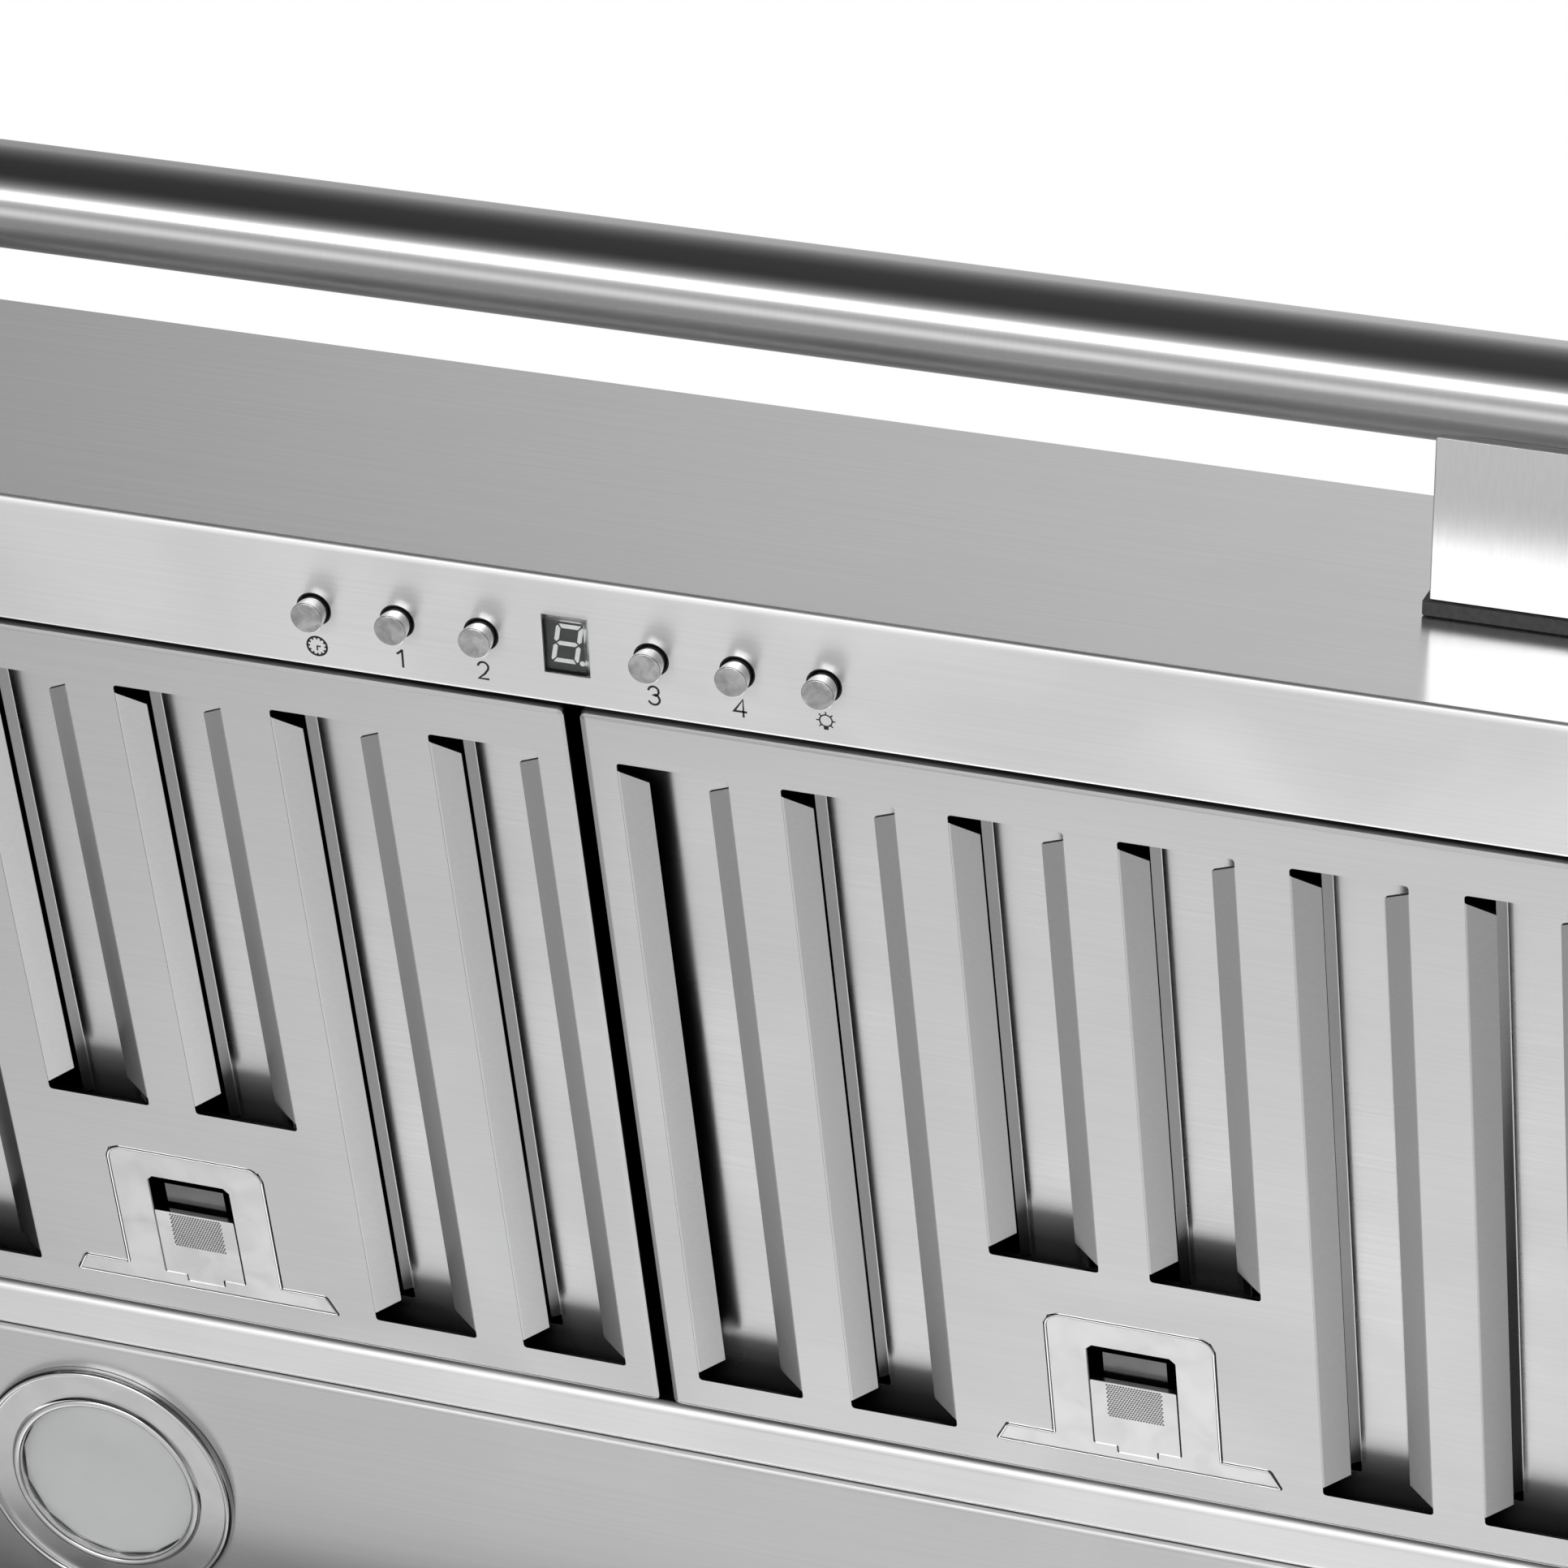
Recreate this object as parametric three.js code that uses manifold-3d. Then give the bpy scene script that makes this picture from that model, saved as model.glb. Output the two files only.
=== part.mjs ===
// Under cabinet range hood: a bent sheet body with a towel bar, push buttons and a display in its control
// strip, two baffle filters with spring latches, two lamps, a blower and a duct collar with damper flaps.
// Millimetres. +X is the right hand of a user who faces the hood, +Y points to the wall, +Z is up.
// The origin is on the flat top, in the middle of the rear line of cabinet screws.
import * as THREE from "three";
import { mergeVertices } from "three/addons/utils/BufferGeometryUtils.js";
import Module from "manifold-3d";

const wasm = await Module();
wasm.setup();

// ---------------------------------------------------------------- driving dimensions
const degrees = Math.PI / 180;

// body
const width = 762;
const depth = 559;
const height = 254;
const screwSetback = 25; // from the wall to the rear line of cabinet screws
const flatTopDepth = 305; // the flat part of the top, as deep as a wall cabinet
const bandHeight = 167.5; // front band, measured along its face
const bandLean = 6.5 * degrees;
const stripDepth = 51.1; // control strip under the band
const stripFlange = 6;
const flange = 14;
const sideFlange = 10;
const sheet = 1;
const bendRadius = 1; // inside a bend
const seam = 0.3; // between two pieces that lie against each other

// towel bar
const barRadius = 19.05;
const barWall = 1.5;
const barInset = 9; // from the hood's side to the end of the tube
const barUp = 81.1; // bar axis above the strip, along the band
const barOut = 78.4; // bar axis in front of the band
const capLength = 4;
const plugLength = 12;
const bracketWidth = 76.2;
const bracketHeight = 26.4;
const bracketWall = 3;
const bracketInset = 58.8; // from the hood's side to the bracket's middle
const gasketThickness = 5;
const gasketMarginX = 2.1;
const gasketMarginZ = 1.4;
const boltRadius = 3;
const boltHead = 4;
const bossRadius = 8;

// keys and display
const keyPitch = 31.1;
const keySetback = 27.3; // from the front edge of the strip to the key axes
const keyRadius = 5.9;
const keyEdge = 0.2;
const keyNeckRadius = 5.45;
const keyProud = 6.8;
const keyTravel = 1.6;
const keyFlange = 1;
const keyStem = 1.2;
const keyStemRadius = 1.75;
const keyHoleRadius = 6.75;
const collarWall = 0.7;
const carrierThickness = 2;
const carrierMargin = 12; // beyond the axes of the outer keys
const carrierHalfDepth = 16;
const postRadius = 1.8;
const windowWidth = 16.9;
const windowLength = 23;
const windowSetback = 27;
const windowDepth = 4.4;
const windowProud = 1.5; // in front of the strip
const windowBevel = 1.3;
const windowRim = 2;
const collarRecess = 0.2;
const switchHeight = 3;
const switchSize = 6;
const boardThickness = 1.6;

// filters, measured in their own plane
const filterTilt = 8 * degrees;
const filterGap = 2; // from the strip to the filters
const filterMiddleGap = 4.8;
const filterSideGap = 1;
const sideRailWidth = 12.3; // from the hood's side
const filterLength = 333;
const filterHeight = 16;
const filterEdge = 2.2; // rounding along the edges of the face
const slotCount = 6;
const slotBorder = 2.65; // filter edge beyond the pitch of the end slots
const slotWidth = 41;
const slotFront = 20.5;
const slotMargin = 16; // behind the slots
const shortSlotMargin = 108; // the two middle slots end in front of the latch
const lipWidth = 9.55;
const lipRise = 4.4;
const lipBend = 3; // inside the soft bend of a lip
const lipNotch = 3.5;
const lipFrontSlope = 7.7;
const lipRearSlope = 5.5;
const channelSheet = 0.8;
const channelLevel = 13.6; // underside of the rear sheet
const channelFloor = 19.5;
const channelSpread = 25.9;
const channelDrop = 2.25;
const channelBorder = 11; // the rear sheet is whole along its front and rear edges
const hookWidth = 40;
const hookReach = 4;

// latches
const latchSetback = 14.5; // from the filter's rear edge
const latchLength = 69.5;
const latchWidth = 64;
const latchFootWidth = 109;
const latchFootLength = 9;
const latchFootSlant = 4.5;
const latchPlate = 1.6;
const latchBevel = 0.35;
const latchRim = 1.2; // the plate's hidden edge rests on the filter's face
const latchClearance = 0.4;
const fingerHalf = 16.5; // finger window
const fingerLength = 49.1;
const fingerCorner = 2;
const fingerSetback = 7.2; // from the latch's rear edge
const tabHalf = 7.6;
const tabLength = 3;
const sliderLength = 32; // the part of the window that the slider fills
const sliderTravel = 9;
const sliderClearance = 0.3;
const earThickness = 1.5;
const shelfLength = 11;
const boltWidth = 24;
const boltThickness = 3.4;
const boltReach = 8; // the bolt stands out behind the filter
const pocketMargin = 3;
const pocketReach = 6; // in front of the finger window
const pocketHeight = 12.9;
const pocketWall = 1;
const springSetback = 4; // from the slider's front
const springLength = 21.4;
const springRadius = 1.5;
const springWire = 0.35;
const springTurns = 7;

// ledge, lamp panel and lamps
const ledgeGap = 1.2;
const ledgeDepth = 20.5;
const lampSetback = 66.7; // from the lamp panel's front edge
const lampInset = 142.4; // from the hood's side
const lampRadius = 53.7;
const lampRing = 3.4; // width of the raised outer ring
const lensRadius = 37.3;
const lensEdge = 3;
const lampLip = 0.8; // the lens rests on this lip
const lampSleeve = 14;
const housingRadius = 50;
const housingHeight = 42;
const housingSheet = 0.8;
const moduleHeight = 20;

// blower
const blowerDrop = 98; // blower axis under the top face
const blowerHalf = 75;
const wheelRadius = 66;
const wheelHalf = 63;
const bladeCount = 24;
const bladeDepth = 13;
const bladeSheet = 0.8;
const bladeSweep = 0.22; // turn of a blade's tip, in radians
const wheelRing = 1.2;
const cutoffGap = 6; // between the wheel and the scroll at its narrowest
const scrollGrowth = 24;
const cutoffAngle = 95 * degrees; // from the rear, over the top
const outletMargin = 12;
const sideMargin = 3;
const inletRadius = 58;
const inletDepth = 9;
const shaftRadius = 4;
const shaftClearance = 0.3;
const hubLength = 12;
const hubWall = 7;
const motorRadius = 40;
const motorLength = 52;
const motorFront = -14;
const armWidth = 16;
const armSheet = 2;

// duct collar and damper
const ductRadius = 75;
const ductSetback = 150; // from the wall
const collarHeight = 48;
const collarSheet = 0.8;
const collarFlange = 15;
const damperLevel = 16;
const damperStop = 3.5;
const flapSheet = 1;
const flapClearance = 0.7;
const pinRadius = 1.5;
const knuckleWall = 0.9;
const knuckleCount = 6;

// supply
const supplyInset = 131; // from the hood's left side
const supplyY = -45;
const glandRadius = 10.5;
const glandBore = 6;
const boxHalfWidth = 50;
const boxHalfDepth = 35;
const boxHeight = 42;

// ---------------------------------------------------------------- derived places
const layer = sheet + seam; // how far inside another sheet a second one lies
const halfWidth = width / 2;
const innerHalfWidth = halfWidth - layer;
const wallY = screwSetback;
const frontY = wallY - depth;
const bottomZ = -height;
const stripRearY = frontY + stripDepth;
const filterY = stripRearY + filterGap;
const filterRearY = filterY + filterLength * Math.cos(filterTilt);
const ledgeZ = bottomZ + filterLength * Math.sin(filterTilt);
const ledgeY = filterRearY + ledgeGap;
const lampPanelY = ledgeY + ledgeDepth + 2 * seam;
const ductY = wallY - ductSetback;
const barLength = width - 2 * barInset;
const bracketX = halfWidth - bracketInset;
const lampX = halfWidth - lampInset;
const supplyX = supplyInset - halfWidth;
const filterWidth = halfWidth - sideRailWidth - filterSideGap - filterMiddleGap / 2;
const slotPitch = (filterWidth - 2 * slotBorder) / slotCount;
const slotRear = filterLength - slotMargin;
const shortSlotRear = filterLength - shortSlotMargin;
const latchRear = filterLength - latchSetback;
const latchFront = latchRear - latchLength;
const fingerRear = latchRear - fingerSetback;
const fingerFront = fingerRear - fingerLength;
const sliderFront = fingerRear - sliderLength;
const pocketFront = fingerFront - pocketReach;
const springStart = sliderFront + springSetback;
const springEnd = springStart + springLength;

// faces round a circle
const largeSides = 24;
const smallSides = 14;

// ---------------------------------------------------------------- solids
// A closed geometry as a solid for cuts and joins.
function toSolid(geometry) {
  const bare = geometry.clone();
  bare.deleteAttribute("normal");
  bare.deleteAttribute("uv");
  const merged = mergeVertices(bare, 1e-4);
  return new wasm.Manifold(
    new wasm.Mesh({
      numProp: 3,
      vertProperties: merged.attributes.position.array,
      triVerts: new Uint32Array(merged.index.array),
    }),
  );
}

function toGeometry(solid) {
  const mesh = solid.getMesh();
  const geometry = new THREE.BufferGeometry();
  geometry.setAttribute("position", new THREE.BufferAttribute(mesh.vertProperties.slice(), 3));
  geometry.setIndex(new THREE.BufferAttribute(mesh.triVerts.slice(), 1));
  geometry.computeVertexNormals();
  return geometry;
}

const join = (first, ...others) => others.reduce((sum, next) => sum.add(next), first);
const cut = (first, ...others) => others.reduce((rest, next) => rest.subtract(next), first);
const bothSides = (make) => [make(-1), make(1)];
const mirrored = (solid, side) => (side < 0 ? solid.mirror([1, 0, 0]) : solid);

// ---------------------------------------------------------------- outlines
const vec = (x, y) => new THREE.Vector2(x, y);
const leftOf = (v) => vec(-v.y, v.x);

// Corner points [x, y] or [x, y, radius] as an outline with rounded corners.
function rounded(corners, radius = 0, steps = 2) {
  return corners.flatMap(([x, y, own], i) => {
    const r = own ?? radius;
    const here = vec(x, y);
    if (r <= 0) return [here];
    const before = corners[(i + corners.length - 1) % corners.length];
    const after = corners[(i + 1) % corners.length];
    const back = vec(before[0], before[1]).sub(here).normalize();
    const forth = vec(after[0], after[1]).sub(here).normalize();
    const half = Math.acos(back.dot(forth)) / 2;
    const inward = back.clone().add(forth).normalize();
    const centre = here.clone().addScaledVector(inward, r / Math.sin(half));
    const from = here.clone().addScaledVector(back, r / Math.tan(half)).sub(centre);
    const to = here.clone().addScaledVector(forth, r / Math.tan(half)).sub(centre);
    const turn = Math.atan2(from.cross(to), from.dot(to));
    return Array.from({ length: steps + 1 }, (_, k) =>
      from.clone().rotateAround(vec(0, 0), (turn * k) / steps).add(centre),
    );
  });
}

function roundedBox(x0, y0, x1, y1, radius = 0, steps = 2) {
  const corners = [
    [x0, y0],
    [x1, y0],
    [x1, y1],
    [x0, y1],
  ];
  return rounded(corners, radius, steps);
}

function circle(x, y, radius, steps = smallSides) {
  return Array.from({ length: steps }, (_, i) =>
    vec(radius, 0).rotateAround(vec(0, 0), (i * 2 * Math.PI) / steps).add(vec(x, y)),
  );
}

// An open line of Vector2 moved sideways, to its left for a positive distance.
function offsetLine(points, distance) {
  const along = points.slice(1).map((p, i) => p.clone().sub(points[i]).normalize());
  return points.map((p, i) => {
    const u = along[Math.max(i - 1, 0)];
    const v = along[Math.min(i, along.length - 1)];
    return p.clone().addScaledVector(leftOf(u).add(leftOf(v)), distance / (1 + u.dot(v)));
  });
}

// The section of a bent sheet. `face` is the line of its outer face, with the material to the left of it for
// side 1 and to the right for side -1. Shallow bends are plain mitres, and the others are arcs.
function bentSheet(face, side, thickness = sheet, inside = bendRadius) {
  const corners = face.map(([x, y]) => vec(x, y));
  const line = offsetLine(corners, (side * thickness) / 2);
  const radius = inside + thickness / 2;
  const samples = line.flatMap((p, i) => {
    const next = line[Math.min(i + 1, line.length - 1)];
    const last = line[Math.max(i - 1, 0)];
    const u = (i > 0 ? p.clone().sub(last) : next.clone().sub(p)).normalize();
    const v = (i < line.length - 1 ? next.clone().sub(p) : u.clone()).normalize();
    const turn = Math.atan2(u.cross(v), u.dot(v));
    if (Math.abs(turn) < 14 * degrees) {
      return [[p, leftOf(u).add(leftOf(v)).divideScalar(1 + u.dot(v))]];
    }
    const steps = Math.ceil(Math.abs(turn) / (40 * degrees));
    const start = p.clone().addScaledVector(u, -radius * Math.tan(Math.abs(turn) / 2));
    const centre = start.clone().addScaledVector(leftOf(u), radius * Math.sign(turn));
    return Array.from({ length: steps + 1 }, (_, k) => {
      const angle = (turn * k) / steps;
      return [start.clone().rotateAround(centre, angle), leftOf(u).rotateAround(vec(0, 0), angle)];
    });
  });
  const left = samples.map(([p, n]) => p.clone().addScaledVector(n, thickness / 2));
  const right = samples.map(([p, n]) => p.clone().addScaledVector(n, -thickness / 2));
  return left.concat(right.reverse());
}

// Where the line through p along u crosses the line through q along v.
function meet(p, u, q, v) {
  const s = ((q[0] - p[0]) * v[1] - (q[1] - p[1]) * v[0]) / (u[0] * v[1] - u[1] * v[0]);
  return [p[0] + s * u[0], p[1] + s * u[1]];
}

// ---------------------------------------------------------------- extrusions and revolves
function shapeOf(outline, holes = []) {
  const shape = new THREE.Shape(outline);
  shape.holes = holes.map((hole) => new THREE.Path(hole));
  return shape;
}

const extrusion = (outline, length, holes) =>
  new THREE.ExtrudeGeometry(shapeOf(outline, holes), { depth: length, bevelEnabled: false });

// An outline in X and Y, raised from z0 to z1.
const upright = (outline, z0, z1, holes) => toSolid(extrusion(outline, z1 - z0, holes).translate(0, 0, z0));

// An outline in Y and Z, drawn out from x0 to x1.
function alongX(outline, x0, x1, holes) {
  const turned = new THREE.Matrix4().set(0, 0, 1, x0, 1, 0, 0, 0, 0, 1, 0, 0, 0, 0, 0, 1);
  return toSolid(extrusion(outline, x1 - x0, holes).applyMatrix4(turned));
}

// An outline in X and Z, drawn out from y0 to y1.
const alongY = (outline, y0, y1, holes) =>
  toSolid(extrusion(outline, y1 - y0, holes).rotateX(Math.PI / 2).translate(0, y1, 0));

function box(x0, y0, z0, x1, y1, z1) {
  return upright(roundedBox(Math.min(x0, x1), y0, Math.max(x0, x1), y1), z0, z1);
}

// An upright extrusion with bevelled ends, which more segments make round.
function bevelled(outline, z0, z1, size, segments = 1, holes = []) {
  const geometry = new THREE.ExtrudeGeometry(shapeOf(outline, holes), {
    depth: z1 - z0 - 2 * size,
    bevelThickness: size,
    bevelSize: size,
    bevelOffset: -size,
    bevelSegments: segments,
  });
  return toSolid(geometry.translate(0, 0, z0 + size));
}

// [radius, z] points turned about the Z axis. The profile closes on the axis or on itself.
function revolve(profile, steps = smallSides) {
  const points = profile.map(([r, z]) => vec(r, z));
  if (points[0].x > 0 || points[points.length - 1].x > 0) points.push(points[0].clone());
  if (THREE.ShapeUtils.area(points) < 0) points.reverse();
  return toSolid(new THREE.LatheGeometry(points, steps).rotateX(Math.PI / 2));
}

function tube(inner, outer, z0, z1, steps = smallSides) {
  const profile = [
    [inner, z0],
    [outer, z0],
    [outer, z1],
    [inner, z1],
  ];
  return revolve(profile, steps);
}

const cylinder = (radius, z0, z1, steps) => tube(0, radius, z0, z1, steps);

// Turns a solid of revolution from the Z axis to the X axis, or to the -Y axis.
const onX = (solid) => solid.rotate([0, 90, 0]);
const onFront = (solid) => solid.rotate([90, 0, 0]);

// ---------------------------------------------------------------- frames and finishes
const hood = new THREE.Group();

// A nested group at a place in its parent, turned about X.
function frame(parent, place, tilt = 0) {
  const group = new THREE.Group();
  group.position.set(...place);
  group.rotation.x = tilt;
  parent.add(group);
  return group;
}

// A solid of a nested group, seen in the hood's own frame.
function fromFrame(group, solid) {
  group.updateWorldMatrix(true, false);
  return solid.transform(group.matrixWorld.elements);
}

const metal = (color, roughness) => new THREE.MeshStandardMaterial({ color, roughness, metalness: 1 });
const plain = (color, roughness) => new THREE.MeshStandardMaterial({ color, roughness, metalness: 0 });
const brushed = () => metal(0xb9bbbd, 0.35);
const polished = () => metal(0xd6d8da, 0.12);
const galvanised = () => metal(0x9a9fa3, 0.5);
const black = () => plain(0x141415, 0.5);

function add(group, name, solid, material) {
  const mesh = new THREE.Mesh(toGeometry(solid), material);
  mesh.name = name;
  group.add(mesh);
}

const band = frame(hood, [0, frontY, bottomZ], -bandLean); // -Y is out of the band, +Z along it
const strip = frame(hood, [0, frontY, bottomZ]); // +Y runs back from the front edge
const filters = frame(hood, [0, filterY, bottomZ], filterTilt); // +Y runs back along the filters
const blower = frame(hood, [0, ductY, -blowerDrop]);
const duct = frame(hood, [0, ductY, 0]);

// ---------------------------------------------------------------- body panels
const bandUp = [Math.sin(bandLean), Math.cos(bandLean)]; // in Y and Z
const bandTop = [frontY + bandHeight * bandUp[0], bottomZ + bandHeight * bandUp[1]];
const slopeTop = [wallY - flatTopDepth, 0];
const slopeRun = slopeTop[0] - bandTop[0];
const slopeRise = slopeTop[1] - bandTop[1];
const slopeAngle = Math.atan2(slopeRise, slopeRun) + Math.asin(layer / Math.hypot(slopeRun, slopeRise));
const slope = [Math.cos(slopeAngle), Math.sin(slopeAngle)];

// A point under the slope: `down` square to it from the band's top edge, and `back` along it.
const underSlope = (down, back) => [
  bandTop[0] + down * slope[1] + back * slope[0],
  bandTop[1] - down * slope[0] + back * slope[1],
];

// Clears the end of a panel where it meets the side panels.
const clearEnds = (solid, y0, z0, y1, z1) =>
  cut(solid, ...bothSides((s) => box(s * innerHalfWidth, y0, z0, s * (halfWidth + 1), y1, z1)));

const keyPlaces = ["timer", "speed_1", "speed_2", "display", "speed_3", "speed_4", "light"];
const middlePlace = (keyPlaces.length - 1) / 2;
const keys = keyPlaces
  .map((name, i) => ({ name, x: (i - middlePlace) * keyPitch }))
  .filter((key) => key.name !== "display");
const windowOutline = (grow) =>
  roundedBox(
    -windowWidth / 2 - grow,
    windowSetback - windowLength / 2 - grow,
    windowWidth / 2 + grow,
    windowSetback + windowLength / 2 + grow,
  );

// Strip and band in one sheet, flanged up behind the strip and back over the slope.
function frontPanel() {
  const face = [
    [stripRearY, bottomZ + stripFlange],
    [stripRearY, bottomZ],
    [frontY, bottomZ],
    bandTop,
    underSlope(0, flange),
  ];
  const sheetMetal = alongX(bentSheet(face, -1), -halfWidth, halfWidth);
  const panel = clearEnds(
    sheetMetal,
    stripRearY - 2 * layer,
    bottomZ + sheet,
    stripRearY + 1,
    bottomZ + stripFlange + 1,
  );
  const through = [-sheet, 2 * sheet];
  const holes = keys.map((key) => cylinder(keyHoleRadius, ...through).translate([key.x, keySetback, 0]));
  const controls = fromFrame(strip, join(upright(windowOutline(0), ...through), ...holes));
  const boltHoles = bothSides((s) => {
    const hole = onFront(cylinder(boltRadius + seam, -2 * sheet, sheet));
    return fromFrame(band, hole.translate([s * bracketX, 0, barUp]));
  });
  return cut(panel, controls, ...boltHoles);
}

function topPanel() {
  const lap = bendRadius + 2 * sheet; // clear of the front panel's bend
  const section = bentSheet([underSlope(layer, lap), slopeTop, [wallY, 0]], -1);
  const ductHole = cylinder(ductRadius + 2 * seam, -2 * sheet, sheet, largeSides).translate([0, ductY, 0]);
  const supplyHole = cylinder(glandRadius + seam, -2 * sheet, sheet).translate([supplyX, supplyY, 0]);
  return cut(alongX(section, -halfWidth, halfWidth), ductHole, supplyHole);
}

function rearPanel() {
  const face = [
    [wallY - flange, -layer],
    [wallY, -layer],
    [wallY, bottomZ],
    [wallY - flange, bottomZ],
  ];
  const panel = alongX(bentSheet(face, -1), -halfWidth, halfWidth);
  return clearEnds(panel, wallY - flange - 1, -layer - 2 * sheet, wallY - sheet, -sheet);
}

// A plate inside the front, top and rear panels, with a flange turned in under it.
function sidePanel(side) {
  const bandInside = [frontY + layer / bandUp[1], bottomZ];
  const slopeInside = underSlope(2 * layer, 0);
  const sill = bottomZ + layer + bendRadius;
  const rear = wallY - layer;
  const corners = [
    [rear, sill],
    [rear, -layer],
    meet(slopeInside, slope, [0, -layer], [1, 0]),
    [...meet(bandInside, bandUp, slopeInside, slope), bendRadius],
    meet(bandInside, bandUp, [0, sill], [1, 0]),
  ];
  const plate = alongX(rounded(corners), halfWidth - sheet, halfWidth);
  const turned = [
    [halfWidth - sideFlange, bottomZ],
    [halfWidth, bottomZ],
    [halfWidth, sill + 2 * bendRadius],
  ];
  const bottom = alongY(bentSheet(turned, 1), stripRearY + seam, wallY - flange - seam);
  return mirrored(join(plate, bottom), side);
}

// ---------------------------------------------------------------- towel bar, in the band's frame
const onBar = (solid) => solid.translate([0, -barOut, barUp]);

function towelBar() {
  const half = barLength / 2;
  return onBar(onX(tube(barRadius - barWall, barRadius, -half, half, largeSides)));
}

// A turned cap that plugs the tube and covers its end.
function barCap(side) {
  const plug = barRadius - barWall - seam;
  const edge = 1.2;
  const profile = [
    [0, -plugLength],
    [plug, -plugLength],
    [plug, seam],
    [barRadius, seam],
    [barRadius, capLength - edge],
    [barRadius - edge, capLength],
    [0, capLength],
  ];
  return onBar(mirrored(onX(revolve(profile, largeSides)).translate([barLength / 2, 0, 0]), side));
}

const bracketFoot = gasketThickness + 2 * seam;
const bracketHollow = barOut - barRadius - bracketFoot - 2 * bracketWall;

// A hollow standoff, open towards the band, with a boss for its bolt and a saddle that fits the bar.
function barBracket() {
  const halfX = bracketWidth / 2;
  const halfZ = bracketHeight / 2;
  const body = bevelled(roundedBox(-halfX, -halfZ, halfX, halfZ, 0.8), bracketFoot, barOut, 0.4);
  const innerX = halfX - bracketWall;
  const innerZ = halfZ - bracketWall;
  const inside = roundedBox(-innerX, -innerZ, innerX, innerZ, 1);
  const hollow = upright(inside, bracketFoot - 1, bracketFoot + bracketHollow);
  const boss = cylinder(bossRadius, bracketFoot, bracketFoot + bracketHollow);
  const bore = cylinder(boltRadius + seam, 0, bracketFoot + bracketHollow - boltHead);
  const barSpace = onX(cylinder(barRadius + seam, -bracketWidth, bracketWidth, largeSides));
  const saddle = barSpace.translate([0, -barOut, 0]);
  return cut(onFront(cut(join(cut(body, hollow), boss), bore)), saddle);
}

function bracketGasket() {
  const halfX = bracketWidth / 2 + gasketMarginX;
  const halfZ = bracketHeight / 2 + gasketMarginZ;
  const hole = circle(0, 0, boltRadius + seam);
  return onFront(upright(roundedBox(-halfX, -halfZ, halfX, halfZ, 1), seam, seam + gasketThickness, [hole]));
}

// The head is inside the band, and the shank runs into the bracket's boss.
function barBolt() {
  const seat = -layer;
  const profile = [
    [0, seat - boltHead],
    [2 * boltRadius, seat - boltHead],
    [2 * boltRadius, seat],
    [boltRadius, seat],
    [boltRadius, bracketFoot + bracketHollow - 2 * boltHead],
    [0, bracketFoot + bracketHollow - 2 * boltHead],
  ];
  return onFront(revolve(profile));
}

// ---------------------------------------------------------------- keys and display, in the strip's frame
const carrierBottom = layer;
const carrierTop = carrierBottom + carrierThickness;
const keyFlangeTop = carrierTop + seam + keyFlange;
const stemTop = keyFlangeTop + keyStem;
const switchBottom = stemTop + keyTravel + seam;
const boardBottom = switchBottom + switchHeight;
const collarBore = keyHoleRadius - seam - collarWall;
const carrierHalf = middlePlace * keyPitch + carrierMargin;

// A turned metal cap on a stem. Its hidden flange holds it in the carrier.
function keyCap() {
  const flangeRadius = collarBore + 1.6;
  const profile = [
    [0, -keyProud],
    [keyRadius - keyEdge, -keyProud],
    [keyRadius, -keyProud + keyEdge],
    [keyNeckRadius, -keyTravel - seam],
    [keyNeckRadius, carrierTop + seam],
    [flangeRadius, carrierTop + seam],
    [flangeRadius, keyFlangeTop],
    [keyStemRadius, keyFlangeTop],
    [keyStemRadius, stemTop],
    [0, stemTop],
  ];
  return revolve(profile);
}

// The plate behind the strip, with a collar round each key and posts for the board.
function keyCarrier() {
  const back = keySetback - carrierHalfDepth;
  const front = keySetback + carrierHalfDepth;
  const plate = upright(roundedBox(-carrierHalf, back, carrierHalf, front, 2), carrierBottom, carrierTop);
  const opening = upright(windowOutline(windowRim + 2 * seam), 0, carrierTop + 1);
  const collars = keys.map((key) =>
    tube(collarBore, collarBore + collarWall, collarRecess, carrierTop).translate([key.x, keySetback, 0]),
  );
  const bores = keys.map((key) => cylinder(collarBore, 0, carrierTop + 1).translate([key.x, keySetback, 0]));
  const postX = carrierHalf - 2 * postRadius;
  const postY = carrierHalfDepth - 1.5 * postRadius;
  const posts = [-1, -1 / 3, 1 / 3, 1].flatMap((u) =>
    bothSides((v) => {
      const post = cylinder(postRadius, carrierTop - 0.5, boardBottom - seam, 8);
      return post.translate([u * postX, keySetback + v * postY, 0]);
    }),
  );
  return join(cut(plate, opening, ...bores), ...collars, ...posts);
}

// A clear block bevelled round its face, with a rim behind the strip.
const windowBack = windowDepth - windowProud;

function displayWindow() {
  const whole = bevelled(windowOutline(-seam), -windowProud, windowBack + windowBevel, windowBevel);
  const behind = upright(windowOutline(1), windowBack, windowBack + 2 * windowBevel);
  const rim = upright(windowOutline(windowRim), layer, windowBack);
  return join(cut(whole, behind), rim);
}

const displayModule = () => upright(windowOutline(-seam), windowBack + seam, boardBottom - seam);

function controlBoard() {
  const halfX = carrierHalf - 1;
  const halfY = carrierHalfDepth - 1;
  const top = boardBottom + boardThickness;
  const board = box(-halfX, keySetback - halfY, boardBottom, halfX, keySetback + halfY, top);
  const half = switchSize / 2;
  const switches = keys.map((key) =>
    box(key.x - half, keySetback - half, switchBottom, key.x + half, keySetback + half, boardBottom + 0.5),
  );
  const plug = box(-20, keySetback + 4, top - 0.5, -4, keySetback + 12, top + 8);
  return join(board, ...switches, plug);
}

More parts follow.
